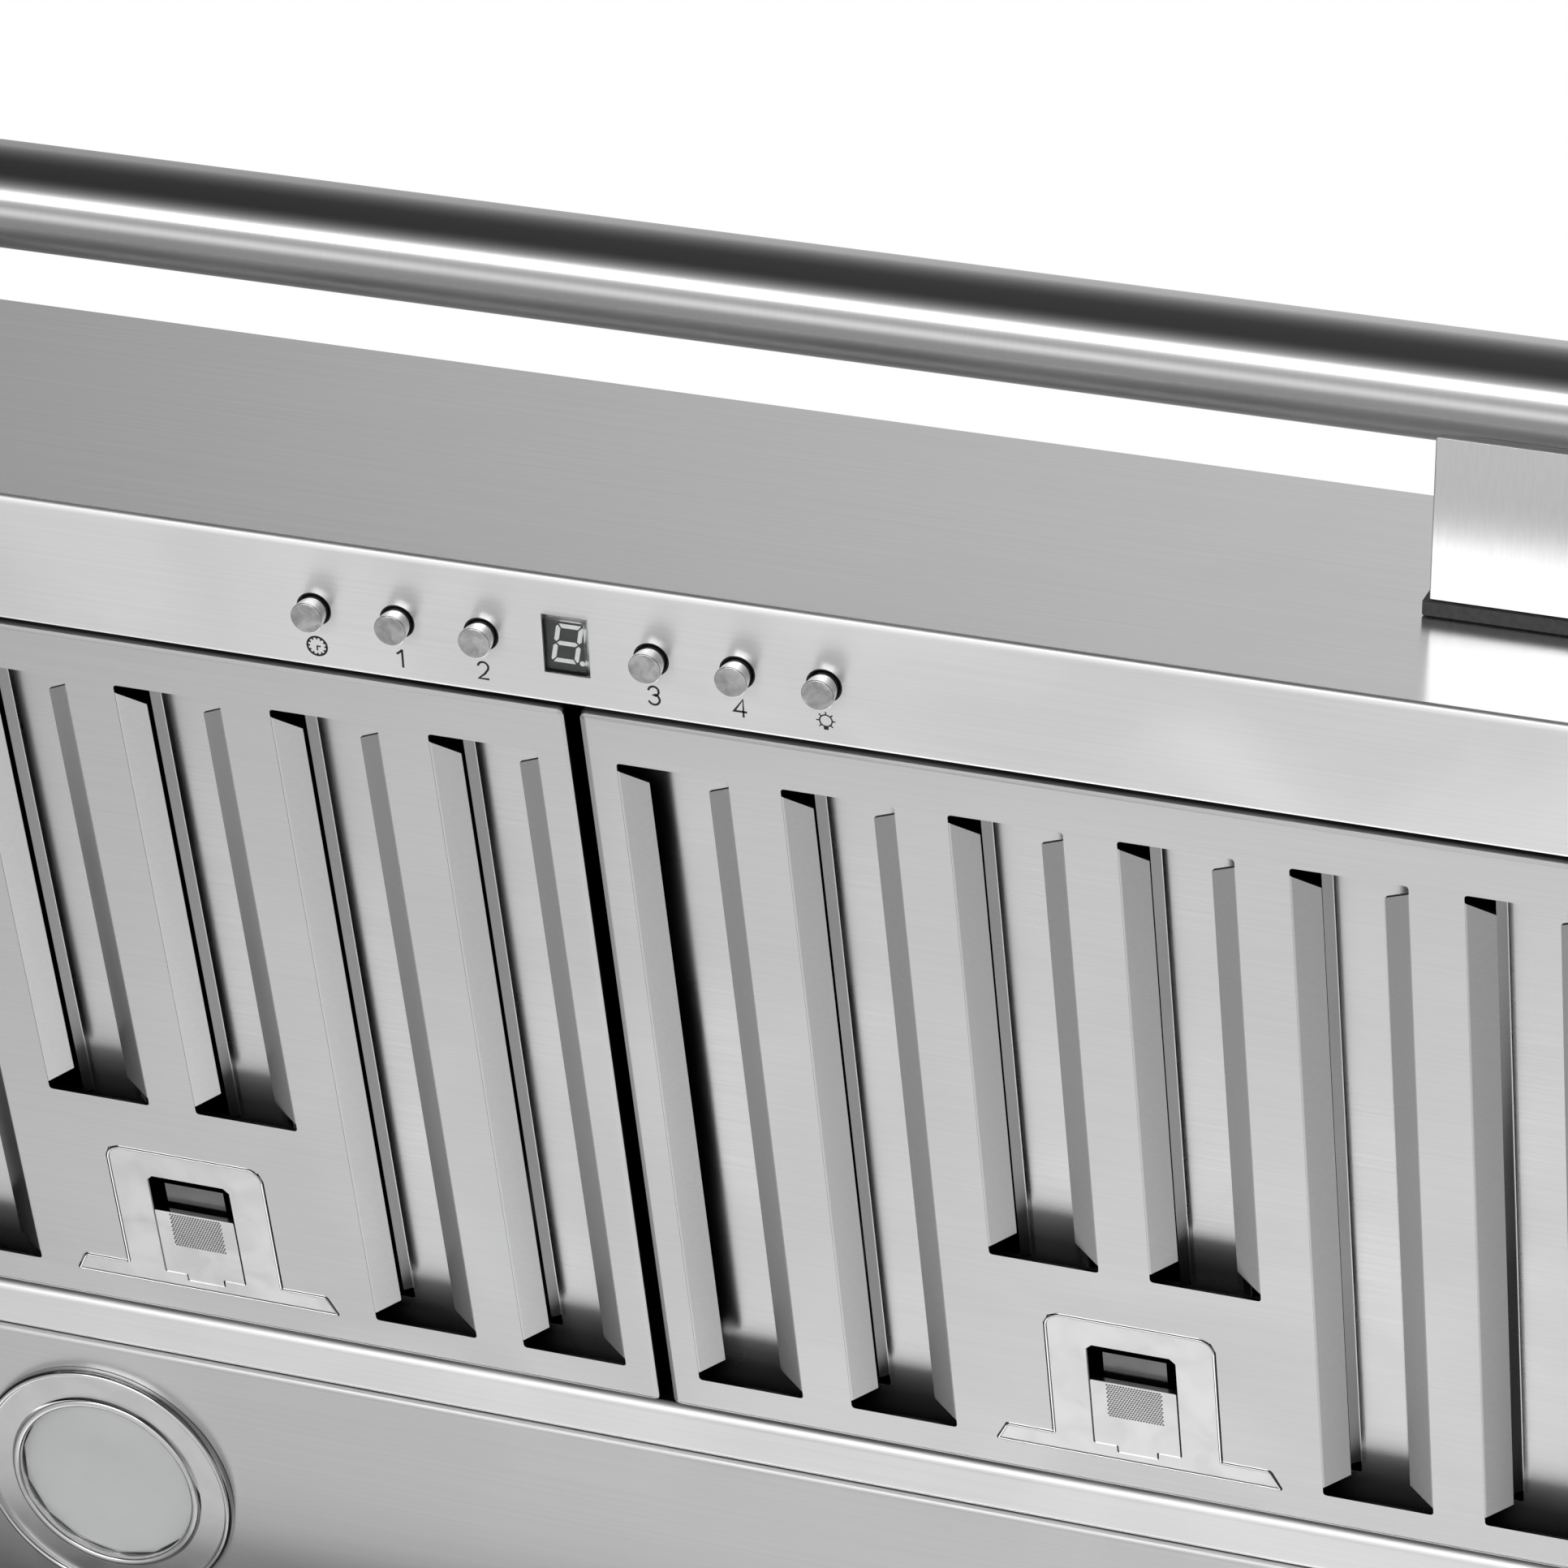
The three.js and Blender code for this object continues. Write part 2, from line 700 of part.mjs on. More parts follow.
// ---------------------------------------------------------------- filters, each in its own frame
const filterX = (filterMiddleGap + filterWidth) / 2;
const slotX = (i) => (i - (slotCount - 1) / 2) * slotPitch;
const isShort = (i) => Math.abs(i - (slotCount - 1) / 2) < 1;
const slotEnd = (i) => (isShort(i) ? shortSlotRear : slotRear);
const slots = Array.from({ length: slotCount }, (_, i) => i);

const boltBottom = latchPlate + seam + earThickness + 0.5;
const boltTop = boltBottom + boltThickness;
const hookBottom = stripFlange * Math.cos(filterTilt) + (filterGap + sheet) * Math.sin(filterTilt) + seam;

// One folded slot edge. It leans in over the slot, and its ends are cut on a slant.
function slotLip(i, side) {
  const fold = -slotWidth / 2;
  const root = fold - 2.5;
  const free = fold + lipWidth;
  const front = slotFront + lipNotch;
  const rear = slotEnd(i) - lipNotch;
  const section = bentSheet(
    [
      [root, 0],
      [fold, 0],
      [free, lipRise],
    ],
    1,
    sheet,
    lipBend,
  );
  const ends = [
    [root - 1, front],
    [fold, front],
    [free + 1, front + lipFrontSlope],
    [free + 1, rear - lipRearSlope],
    [fold, rear],
    [root - 1, rear],
  ];
  const lip = alongY(section, slotFront, slotEnd(i)).intersect(upright(rounded(ends), -1, lipRise + 2));
  return mirrored(lip, -side).translate([slotX(i), 0, 0]);
}

function latchOutline(grow = 0) {
  const half = latchWidth / 2 + grow;
  const foot = latchFootWidth / 2 + grow;
  const footFront = latchRear - latchFootLength - grow;
  return rounded([
    [-foot, latchRear + grow, 1],
    [-foot + latchFootSlant, footFront, 2],
    [-half, footFront],
    [-half, latchFront - grow, 6],
    [half, latchFront - grow, 6],
    [half, footFront],
    [foot - latchFootSlant, footFront, 2],
    [foot, latchRear + grow, 1],
  ]);
}

// A tray with round edges, lipped slots, an opening for the latch and two hooks on the strip's flange.
function filterFace() {
  const half = filterWidth / 2;
  const shell = (inset) => {
    const corner = filterEdge + 0.4 - inset;
    const outline = roundedBox(-half + inset, inset, half - inset, filterLength - inset, corner);
    return bevelled(outline, inset, 2 * filterHeight, filterEdge - inset, 2);
  };
  const above = box(-half - 1, -1, filterHeight, half + 1, filterLength + 1, 3 * filterHeight);
  const openings = slots.map((i) => {
    const x = slotX(i);
    return upright(roundedBox(x - slotWidth / 2, slotFront, x + slotWidth / 2, slotEnd(i), 1.2), -1, 3);
  });
  const latchOpening = upright(latchOutline(latchClearance), -1, 3);
  const boltSlot = box(
    -boltWidth / 2 - latchClearance,
    filterLength - 3,
    boltBottom - latchClearance,
    boltWidth / 2 + latchClearance,
    filterLength + 1,
    boltTop + latchClearance,
  );
  const lips = slots.flatMap((i) => bothSides((s) => slotLip(i, s)));
  const hooks = bothSides((s) => {
    const x = (s * filterWidth) / 4;
    const lie = [-filterGap - hookReach, sheet];
    return box(x - hookWidth / 2, lie[0], hookBottom, x + hookWidth / 2, lie[1], hookBottom + sheet);
  });
  return join(cut(shell(0), shell(sheet), above, ...openings, latchOpening, boltSlot), ...lips, ...hooks);
}

// The rear sheet: a channel behind each slot, open between the channels and whole behind the latch.
function filterChannels() {
  const half = filterWidth / 2 - layer;
  const front = layer + channelBorder;
  const rear = filterLength - front;
  const gapEnd = (g) => (isShort(g) || isShort(g - 1) ? shortSlotRear + channelBorder : rear);
  const outline = roundedBox(-half, layer, half, filterLength - layer, 1.2);
  const gaps = Array.from({ length: slotCount + 1 }, (_, g) => {
    const left = g === 0 ? -half + 4 : slotX(g - 1) + channelFloor / 2;
    const right = g === slotCount ? half - 4 : slotX(g) - channelFloor / 2;
    return roundedBox(left, front, right, gapEnd(g), 1);
  });
  const section = bentSheet(
    [
      [channelFloor / 2 - 2, channelLevel],
      [channelFloor / 2, channelLevel],
      [channelSpread / 2, channelLevel - channelDrop],
    ],
    1,
    channelSheet,
  );
  const wings = slots.flatMap((i) =>
    bothSides((s) => {
      const wing = alongY(section, front + 1, gapEnd(s < 0 ? i : i + 1) - 1);
      return mirrored(wing, s).translate([slotX(i), 0, 0]);
    }),
  );
  return join(upright(outline, channelLevel, channelLevel + channelSheet, gaps), ...wings);
}

// ---------------------------------------------------------------- latches, in the filter's frame
const pocketHalf = fingerHalf + pocketMargin;

// The finger window, or the slider that closes its rear part.
function windowShape(inset, front, frontCorner) {
  const half = fingerHalf - inset;
  const rear = fingerRear - inset;
  const tab = tabHalf - inset;
  const corners = [
    [-half, front, frontCorner],
    [half, front, frontCorner],
    [half, rear],
    [tab, rear],
    [tab, rear + tabLength],
    [-tab, rear + tabLength],
    [-tab, rear],
    [-half, rear],
  ];
  return rounded(corners, 0.4, 1);
}

// The flush plate, its hidden rim, and the pocket in which the slider runs.
function latchBase() {
  const fingerWindow = windowShape(0, fingerFront, fingerCorner);
  const plate = bevelled(latchOutline(), 0, latchPlate, latchBevel, 1, [fingerWindow]);
  const rim = upright(latchOutline(latchClearance + latchRim), layer, latchPlate + latchBevel, [
    roundedBox(-pocketHalf, pocketFront, pocketHalf, latchRear - pocketWall),
  ]);
  const outside = box(
    -pocketHalf - pocketWall,
    pocketFront - pocketWall,
    latchPlate - latchBevel,
    pocketHalf + pocketWall,
    latchRear,
    pocketHeight,
  );
  const ceiling = pocketHeight - pocketWall;
  const inside = box(-pocketHalf, pocketFront, 0, pocketHalf, latchRear - pocketWall, ceiling);
  const boltSlot = box(
    -boltWidth / 2 - latchClearance,
    latchRear - 3,
    boltBottom - latchClearance,
    boltWidth / 2 + latchClearance,
    latchRear + 1,
    boltTop + latchClearance,
  );
  const stop = springStart - seam;
  const springStop = box(-4, stop - 1.5, boltTop + 0.6, 4, stop, pocketHeight - 0.5);
  return join(plate, rim, cut(outside, inside, boltSlot), springStop);
}

// The slider: a plate in the window, ears behind the latch plate, a shelf for the finger, and the bolt.
function latchSlider() {
  const half = boltWidth / 2;
  const earBottom = latchPlate + seam;
  const earTop = earBottom + earThickness;
  const tip = filterLength + boltReach;
  const bodyFront = sliderFront + 4;
  const plate = upright(windowShape(sliderClearance, sliderFront), 0, earBottom + 0.2);
  const ears = box(
    -pocketHalf + 0.5,
    sliderFront + 2,
    earBottom,
    pocketHalf - 0.5,
    fingerRear - 1,
    earTop,
  );
  const shelf = box(-half, sliderFront - shelfLength, boltBottom, half, bodyFront + 1, boltBottom + 1.4);
  const lugFront = springEnd + seam;
  const lug = box(-5, lugFront, boltTop - 0.5, 5, lugFront + 3, pocketHeight - pocketWall - 0.6);
  const neck = latchRear - pocketWall - sliderTravel - 2; // behind it the bolt passes the pocket's wall
  const bolt = rounded([
    [bodyFront, earTop - 0.5],
    [neck, earTop - 0.5],
    [neck, boltBottom],
    [tip, boltBottom, 0.4],
    [tip, boltBottom + 1, 0.3],
    [tip - boltThickness, boltTop],
    [bodyFront, boltTop],
  ]);
  return join(plate, ears, shelf, lug, alongX(bolt, -half, half));
}

// A compression spring between the pocket's stop and the slider's lug.
function latchSpring() {
  class Helix extends THREE.Curve {
    getPoint(t) {
      const angle = t * springTurns * 2 * Math.PI;
      const inner = springStart + springWire;
      const length = springEnd - springStart - 2 * springWire;
      const x = springRadius * Math.cos(angle);
      return new THREE.Vector3(x, inner + length * t, springRadius * Math.sin(angle));
    }
  }
  const wire = new THREE.Shape(circle(0, 0, springWire, 4));
  const options = { steps: springTurns * 6, extrudePath: new Helix(), bevelEnabled: false };
  const level = (boltTop + pocketHeight - pocketWall) / 2;
  return toSolid(new THREE.ExtrudeGeometry(wire, options)).translate([0, 0, level]);
}

// Closes the space between a filter and the side panel, level with the filters.
function sideRail(side) {
  const inner = halfWidth - sideRailWidth;
  const section = bentSheet(
    [
      [inner, filterEdge + 4],
      [inner, 0],
      [innerHalfWidth, 0],
      [innerHalfWidth, filterHeight],
    ],
    1,
  );
  const start = (layer + seam) / Math.sin(filterTilt); // where it has risen past the side panel's flange
  return mirrored(alongY(section, start, filterLength), side);
}

// The ledge behind the filters. The latch bolts pass through slots in its front flange.
function filterRail() {
  const boltRise = (boltReach + ledgeGap) * Math.sin(filterTilt);
  const slotTop = boltTop * Math.cos(filterTilt) + boltRise + 1;
  const slotBottom = boltBottom * Math.cos(filterTilt) - 1;
  const rear = ledgeY + ledgeDepth;
  const face = [
    [ledgeY, ledgeZ + slotTop + 5],
    [ledgeY, ledgeZ],
    [rear, ledgeZ],
    [rear, ledgeZ + flange],
  ];
  const strikes = bothSides((s) => {
    const half = boltWidth / 2 + 1;
    const x = s * filterX;
    return box(x - half, ledgeY - 1, ledgeZ + slotBottom, x + half, ledgeY + 2 * sheet, ledgeZ + slotTop);
  });
  return cut(alongX(bentSheet(face, 1), -innerHalfWidth, innerHalfWidth), ...strikes);
}

// ---------------------------------------------------------------- lamps, in frames under their panel
const sleeveInner = lensRadius + seam;
const sleeveOuter = sleeveInner + 1.5;

function lampPanel() {
  const rear = wallY - layer;
  const face = [
    [lampPanelY, ledgeZ + flange],
    [lampPanelY, ledgeZ],
    [rear, ledgeZ],
    [rear, ledgeZ + flange],
  ];
  const holes = bothSides((s) => {
    const place = [s * lampX, lampPanelY + lampSetback, ledgeZ];
    return cylinder(sleeveOuter + seam, -sheet, 2 * sheet, largeSides).translate(place);
  });
  return cut(alongX(bentSheet(face, 1), -innerHalfWidth, innerHalfWidth), ...holes);
}

// A trim ring with two raised polished rings, and a sleeve that holds the lens and the module.
function lampBezel() {
  const lip = lensRadius - lampLip;
  const flat = -1.9;
  const ring = lampRadius - lampRing;
  const profile = [
    [lip, -1.2],
    [lip, -2.6],
    [lip + 1.7, -3.4],
    [lip + 3.4, -2.6],
    [lip + 3.9, flat],
    [ring, flat],
    [ring + 0.7, -3.2],
    [ring + 1.7, -3.7],
    [ring + 2.7, -3.2],
    [lampRadius, -2],
    [lampRadius, -seam],
    [sleeveOuter, -seam],
    [sleeveOuter, lampSleeve],
    [sleeveInner, lampSleeve],
    [sleeveInner, -1.2],
  ];
  return revolve(profile, largeSides);
}

function lampLens() {
  const bottom = -1.2 + seam;
  const profile = [
    [0, bottom + 1.4],
    [lensRadius * 0.6, bottom + 0.9],
    [lensRadius, bottom],
    [lensRadius, bottom + lensEdge],
    [0, bottom + lensEdge + 1.4],
  ];
  return revolve(profile, largeSides);
}

// The light source: a reflector cup and its heat sink.
function lampModule() {
  const bottom = -1.2 + 2 * seam + lensEdge;
  const outer = lensRadius - seam;
  const profile = [
    [0, 9],
    [8, 9],
    [10, 8],
    [outer - 2, bottom + 0.4],
    [outer - 1, bottom],
    [outer, bottom],
    [outer, moduleHeight],
    [0, moduleHeight],
  ];
  return revolve(profile);
}

// The can over a lamp. Its rim stands on the lamp panel.
function lampHousing() {
  const inside = housingRadius - housingSheet;
  const profile = [
    [0, housingHeight],
    [housingRadius, housingHeight],
    [housingRadius, layer + housingSheet],
    [housingRadius + 6, layer + housingSheet],
    [housingRadius + 6, layer],
    [inside, layer],
    [inside, housingHeight - housingSheet],
    [0, housingHeight - housingSheet],
  ];
  return revolve(profile, largeSides);
}

// ---------------------------------------------------------------- blower, in a frame at the duct's middle
const scrollStart = wheelRadius + cutoffGap;
const outletRear = scrollStart + scrollGrowth;
const outletFront = scrollStart * Math.cos(cutoffAngle);
const axisY = -(outletRear + outletFront) / 2; // the outlet is under the duct's middle
const frameTop = blowerDrop - layer - collarSheet - seam;
const outletTop = frameTop - sheet;

const onAxis = (solid) => solid.translate([0, axisY, 0]);

// The scroll's inner wall, from the cutoff over the front and round to the outlet's rear wall.
function spiral(margin) {
  const steps = 20;
  const span = 2 * Math.PI - cutoffAngle;
  return Array.from({ length: steps + 1 }, (_, k) => {
    const angle = cutoffAngle + (span * k) / steps;
    const r = scrollStart + (scrollGrowth * k) / steps + margin;
    return [r * Math.cos(angle), r * Math.sin(angle)];
  });
}

// The wrapped sheet of the scroll, with a frame round the outlet.
function blowerScroll() {
  const wall = [[outletFront, frameTop - sheet / 2], ...spiral(0), [outletRear, frameTop - sheet / 2]];
  const wrap = alongX(bentSheet(wall, -1, sheet, 0.3), -blowerHalf, blowerHalf);
  const outline = roundedBox(
    -blowerHalf - outletMargin,
    outletFront - outletMargin,
    blowerHalf + outletMargin,
    outletRear + outletMargin,
    3,
  );
  const opening = roundedBox(-blowerHalf + 4, outletFront, blowerHalf - 4, outletRear);
  return onAxis(join(wrap, upright(outline, outletTop, frameTop, [opening])));
}

// A side plate with a rolled inlet.
function blowerSide(side) {
  const top = outletTop - seam;
  const margin = sideMargin;
  const outline = [
    ...spiral(margin).map(([y, z]) => vec(y, z)),
    vec(outletRear + margin, top),
    vec(outletFront - margin, top),
    vec(outletFront - margin, scrollStart),
  ];
  const mouth = inletRadius + 5;
  const plate = alongX(outline, 0, sheet, [circle(0, 0, mouth, largeSides)]);
  const face = [vec(mouth, sheet), vec(inletRadius, -inletDepth / 2), vec(inletRadius, -inletDepth)];
  const back = offsetLine(face, sheet).reverse();
  const inlet = revolve([...face, ...back].map((p) => [p.x, p.y]), largeSides);
  const whole = join(plate, onX(inlet)).translate([blowerHalf + seam, 0, 0]);
  return onAxis(mirrored(whole, side));
}

// The cage of a double inlet wheel: forward curved blades between two end rings, with a ring in the middle.
const cageInner = wheelRadius - bladeDepth - 1;

function impeller() {
  const end = wheelHalf - wheelRing / 2;
  const rings = [-end, 0, end].map((x) =>
    tube(cageInner, wheelRadius, x - wheelRing / 2, x + wheelRing / 2, bladeCount),
  );
  const line = [0, 0.5, 1].map((t) => {
    const r = cageInner + 1 + (bladeDepth - bladeSheet) * t;
    const angle = -bladeSweep * t * t;
    return [r * Math.cos(angle), r * Math.sin(angle)];
  });
  const blade = upright(bentSheet(line, 1, bladeSheet), -end, end);
  const blades = Array.from({ length: bladeCount }, (_, i) => blade.rotate([0, 0, (360 * i) / bladeCount]));
  return onAxis(onX(join(...rings, ...blades)));
}

// The plate and hub that carry the cage's middle ring on the shaft.
function impellerDisc() {
  const bore = shaftRadius + shaftClearance;
  const hub = shaftRadius + hubWall;
  const half = hubLength / 2;
  const rim = cageInner - seam;
  const profile = [
    [bore, -half],
    [hub, -half],
    [hub, -sheet / 2],
    [rim, -sheet / 2],
    [rim, sheet / 2],
    [hub, sheet / 2],
    [hub, half],
    [bore, half],
  ];
  return onAxis(onX(revolve(profile, bladeCount)));
}

const motorDepth = motorLength - 8; // of the bore for the shaft

function impellerShaft() {
  return onAxis(onX(cylinder(shaftRadius, motorFront - motorDepth + 1, hubLength / 2 + 2)));
}

// The motor sits in the left half of the wheel.
function motor() {
  const profile = [
    [shaftRadius + shaftClearance, 0],
    [11, 0],
    [11, -3],
    [motorRadius - 11, -4],
    [motorRadius, -9],
    [motorRadius, -motorLength + 6],
    [motorRadius - 8, -motorLength],
    [0, -motorLength],
    [0, -motorDepth],
    [shaftRadius + shaftClearance, -motorDepth],
  ];
  return onAxis(onX(revolve(profile, largeSides).translate([0, 0, motorFront])));
}

// Three arms on the left inlet carry the motor.
function motorBracket() {
  const seat = motorFront - motorLength - seam;
  const foot = -blowerHalf - sheet - 2 * seam;
  const hubRadius = motorRadius - 12;
  const hub = onX(tube(10, hubRadius, seat - armSheet, seat));
  const face = [
    [seat, hubRadius - 4],
    [seat, hubRadius],
    [foot, inletRadius + 2],
    [foot, scrollStart + 2],
  ];
  const arm = alongY(bentSheet(face, 1, armSheet), -armWidth / 2, armWidth / 2);
  const arms = [0, 120, 240].map((turn) => arm.rotate([turn, 0, 0]));
  return onAxis(join(hub, ...arms));
}

// ---------------------------------------------------------------- duct collar and damper
const collarInner = ductRadius - collarSheet;
const flapRadius = collarInner - flapClearance;
const knuckleRadius = pinRadius + seam + knuckleWall;
const pinLevel = damperLevel + knuckleRadius;

// A round collar with a flange under the top panel and a stop on which the flaps lie.
function ductCollar() {
  const profile = [
    [ductRadius + collarFlange, -layer - collarSheet],
    [ductRadius + collarFlange, -layer],
    [ductRadius, -layer],
    [ductRadius, collarHeight],
    [collarInner, collarHeight],
    [collarInner, damperLevel - seam],
    [collarInner - damperStop, damperLevel - seam],
    [collarInner - damperStop, damperLevel - seam - collarSheet],
    [collarInner, damperLevel - seam - collarSheet],
    [collarInner, -layer - collarSheet],
  ];
  const pinHole = onX(cylinder(pinRadius + seam, -ductRadius - 1, ductRadius + 1, 8));
  return cut(revolve(profile, largeSides), pinHole.translate([0, 0, pinLevel]));
}

// Half a disc with its own knuckles on the pin. The other flap's knuckles have notches in it.
function damperFlap(side) {
  const pitch = (2 * (flapRadius - 6)) / knuckleCount;
  const clear = knuckleRadius + seam;
  const knuckles = [];
  const notches = [];
  for (let i = 0; i < knuckleCount; i++) {
    const from = -flapRadius + 6 + i * pitch;
    const isOwn = i % 2 === (side > 0 ? 0 : 1);
    if (isOwn) {
      const ring = tube(pinRadius + seam, knuckleRadius, from + seam, from + pitch - seam, 8);
      knuckles.push(onX(ring).translate([0, 0, pinLevel]));
    } else {
      const to = from + pitch + seam;
      notches.push(box(from - seam, -clear, damperLevel - 1, to, clear, damperLevel + 2 * clear));
    }
  }
  const disc = cylinder(flapRadius, damperLevel, damperLevel + flapSheet, largeSides);
  const otherHalf = box(-ductRadius, -ductRadius, 0, ductRadius, seam, collarHeight);
  const pinClear = onX(cylinder(pinRadius + seam, -ductRadius, ductRadius, 8)).translate([0, 0, pinLevel]);
  const half = cut(disc, side > 0 ? otherHalf : otherHalf.rotate([0, 0, 180]), ...notches);
  return cut(join(half, ...knuckles), pinClear);
}

function damperPin() {
  const end = ductRadius + seam;
  const profile = [
    [0, -end - 0.8],
    [pinRadius + 1, -end - 0.8],
    [pinRadius + 1, -end],
    [pinRadius, -end],
    [pinRadius, end],
    [pinRadius + 1, end],
    [pinRadius + 1, end + 0.8],
    [0, end + 0.8],
  ];
  return onX(revolve(profile, 8)).translate([0, 0, pinLevel]);
}

// ---------------------------------------------------------------- supply
// An open box under the top panel.
function junctionBox() {
  const top = -layer;
  const block = (inset, z0, z1) => {
    const halfX = boxHalfWidth - inset;
    const halfY = boxHalfDepth - inset;
    return upright(roundedBox(-halfX, -halfY, halfX, halfY, 2), z0, z1);
  };
  const inside = block(sheet, top - boxHeight - 1, top - sheet);
  return cut(block(0, top - boxHeight, top), inside, cylinder(glandRadius + seam, top - 3, top + 1));
}

function supplyGland() {
  const profile = [
    [glandBore, -14],
    [glandRadius, -14],
    [glandRadius, seam],
    [glandRadius + 4.5, seam],
    [glandRadius + 4.5, seam + 4],
    [glandRadius + 1.5, seam + 10],
    [glandBore, seam + 10],
  ];
  return revolve(profile);
}

// ---------------------------------------------------------------- assembly
const sides = [
  ["left", -1],
  ["right", 1],
];

add(hood, "front_panel", frontPanel(), brushed());
add(hood, "top_panel", topPanel(), brushed());
add(hood, "rear_panel", rearPanel(), brushed());
add(hood, "rear_filter_rail", filterRail(), brushed());
add(hood, "lamp_panel", lampPanel(), brushed());
add(band, "towel_bar", towelBar(), brushed());
add(strip, "button_carrier", keyCarrier(), black());
add(strip, "display_window", displayWindow(), plain(0xb8c0c4, 0.05));
add(strip, "display_module", displayModule(), plain(0x2c2e30, 0.4));
add(strip, "control_board", controlBoard(), plain(0x1d4d34, 0.6));
for (const key of keys) {
  add(frame(strip, [key.x, keySetback, 0]), "button_" + key.name, keyCap(), brushed());
}
for (const [name, side] of sides) {
  add(hood, "side_panel_" + name, sidePanel(side), brushed());
  add(band, "bar_cap_" + name, barCap(side), brushed());
  const standoff = frame(band, [side * bracketX, 0, barUp]);
  add(standoff, "bar_bracket_" + name, barBracket(), brushed());
  add(standoff, "bracket_gasket_" + name, bracketGasket(), plain(0x3a3a3b, 0.8));
  add(standoff, "bar_bolt_" + name, barBolt(), galvanised());
  add(filters, "side_rail_" + name, sideRail(side), brushed());
  const filter = frame(filters, [side * filterX, 0, 0]);
  add(filter, "filter_face_" + name, filterFace(), brushed());
  add(filter, "filter_channels_" + name, filterChannels(), brushed());
  add(filter, "latch_plate_" + name, latchBase(), polished());
  add(filter, "latch_slider_" + name, latchSlider(), polished());
  add(filter, "latch_spring_" + name, latchSpring(), galvanised());
  const lamp = frame(hood, [side * lampX, lampPanelY + lampSetback, ledgeZ]);
  add(lamp, "lamp_bezel_" + name, lampBezel(), polished());
  add(lamp, "lamp_lens_" + name, lampLens(), plain(0xeef0f0, 0.2));
  add(lamp, "lamp_module_" + name, lampModule(), plain(0xe8e8e4, 0.4));
  add(lamp, "lamp_housing_" + name, lampHousing(), galvanised());
  add(blower, "blower_side_" + name, blowerSide(side), galvanised());
}
add(blower, "blower_scroll", blowerScroll(), galvanised());
add(blower, "impeller", impeller(), galvanised());
add(blower, "impeller_disc", impellerDisc(), galvanised());
add(blower, "impeller_shaft", impellerShaft(), polished());
add(blower, "motor", motor(), plain(0x25272a, 0.5));
add(blower, "motor_bracket", motorBracket(), galvanised());
add(duct, "duct_collar", ductCollar(), galvanised());
add(duct, "damper_flap_front", damperFlap(-1), galvanised());
add(duct, "damper_flap_rear", damperFlap(1), galvanised());
add(duct, "damper_pin", damperPin(), polished());
const supply = frame(hood, [supplyX, supplyY, 0]);
add(supply, "junction_box", junctionBox(), galvanised());
add(supply, "supply_gland", supplyGland(), black());

export default hood;
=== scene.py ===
"""Looks of the under cabinet range hood: sheet finishes, keys, display, printed symbols, latches, lamps."""

import math

import bmesh
import bpy
from mathutils import Matrix, Vector


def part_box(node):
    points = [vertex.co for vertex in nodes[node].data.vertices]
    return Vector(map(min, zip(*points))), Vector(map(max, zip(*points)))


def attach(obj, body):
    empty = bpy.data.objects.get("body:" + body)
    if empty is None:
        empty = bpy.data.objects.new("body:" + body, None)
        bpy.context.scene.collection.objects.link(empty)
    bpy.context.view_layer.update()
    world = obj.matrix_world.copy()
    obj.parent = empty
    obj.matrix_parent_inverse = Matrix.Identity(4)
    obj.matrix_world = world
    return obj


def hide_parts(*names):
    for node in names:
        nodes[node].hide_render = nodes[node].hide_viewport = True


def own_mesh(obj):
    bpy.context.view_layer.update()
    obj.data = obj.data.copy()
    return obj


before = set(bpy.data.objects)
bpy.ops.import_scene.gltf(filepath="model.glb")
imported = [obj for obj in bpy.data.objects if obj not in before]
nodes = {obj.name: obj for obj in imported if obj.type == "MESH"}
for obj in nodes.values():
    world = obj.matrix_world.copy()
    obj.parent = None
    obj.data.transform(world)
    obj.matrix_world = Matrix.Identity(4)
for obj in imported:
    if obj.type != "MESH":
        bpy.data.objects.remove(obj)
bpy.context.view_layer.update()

MM = 0.001
LEFT_RIGHT = (("left", -1), ("right", 1))


def box(name):
    """A node's lowest and highest corners, in millimetres."""
    return [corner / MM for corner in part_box(name)]


# ------------------------------------------------------------------ places, in millimetres
front_low, front_high = box("front_panel")
STRIP_Z = front_low.z
FRONT_Y = front_low.y
HALF_WIDTH = front_high.x
BAND_LEAN = -6.5
FILTER_TILT = 8
SHEET = 1
BEND_RADIUS = 1
BAND_HEIGHT = 167.5
STRIP_DEPTH = 51.1
KEY_SETBACK = 27.3
KEY_HOLE_RADIUS = 6.45
WINDOW_MIDDLE = 27.0
WINDOW_HALF_X, WINDOW_HALF_Y = 8.15, 11.2
BAR_UP, BAR_OUT, BAR_RADIUS, BAR_BORE_RADIUS, BAR_HALF_LENGTH = 81.1, 78.4, 19.05, 17.55, 372
BRACKET_MIDDLE = 322.2
FILTER_Y = FRONT_Y + STRIP_DEPTH + 2
FILTER_MIDDLE = 185.05


def at(x, y, z, tilt=0):
    """The frame of a place, for points in millimetres, tilted in degrees about the width."""
    place = Matrix.Translation(Vector((x, y, z)) * MM) @ Matrix.Rotation(math.radians(tilt), 4, "X")
    return place @ Matrix.Scale(MM, 4)


HOOD = at(0, 0, 0)
STRIP = at(0, FRONT_Y, STRIP_Z)
BAND = at(0, FRONT_Y, STRIP_Z, BAND_LEAN)
KEYS = {
    name: sum(box("button_" + name), Vector()).x / 2
    for name in ("timer", "speed_1", "speed_2", "speed_3", "speed_4", "light")
}


# ------------------------------------------------------------------ shader helpers
def new_material(name):
    """A material with its node tree and its shader."""
    material = bpy.data.materials.new(name)
    material.use_nodes = True
    tree = material.node_tree
    return material, tree, tree.nodes["Principled BSDF"]


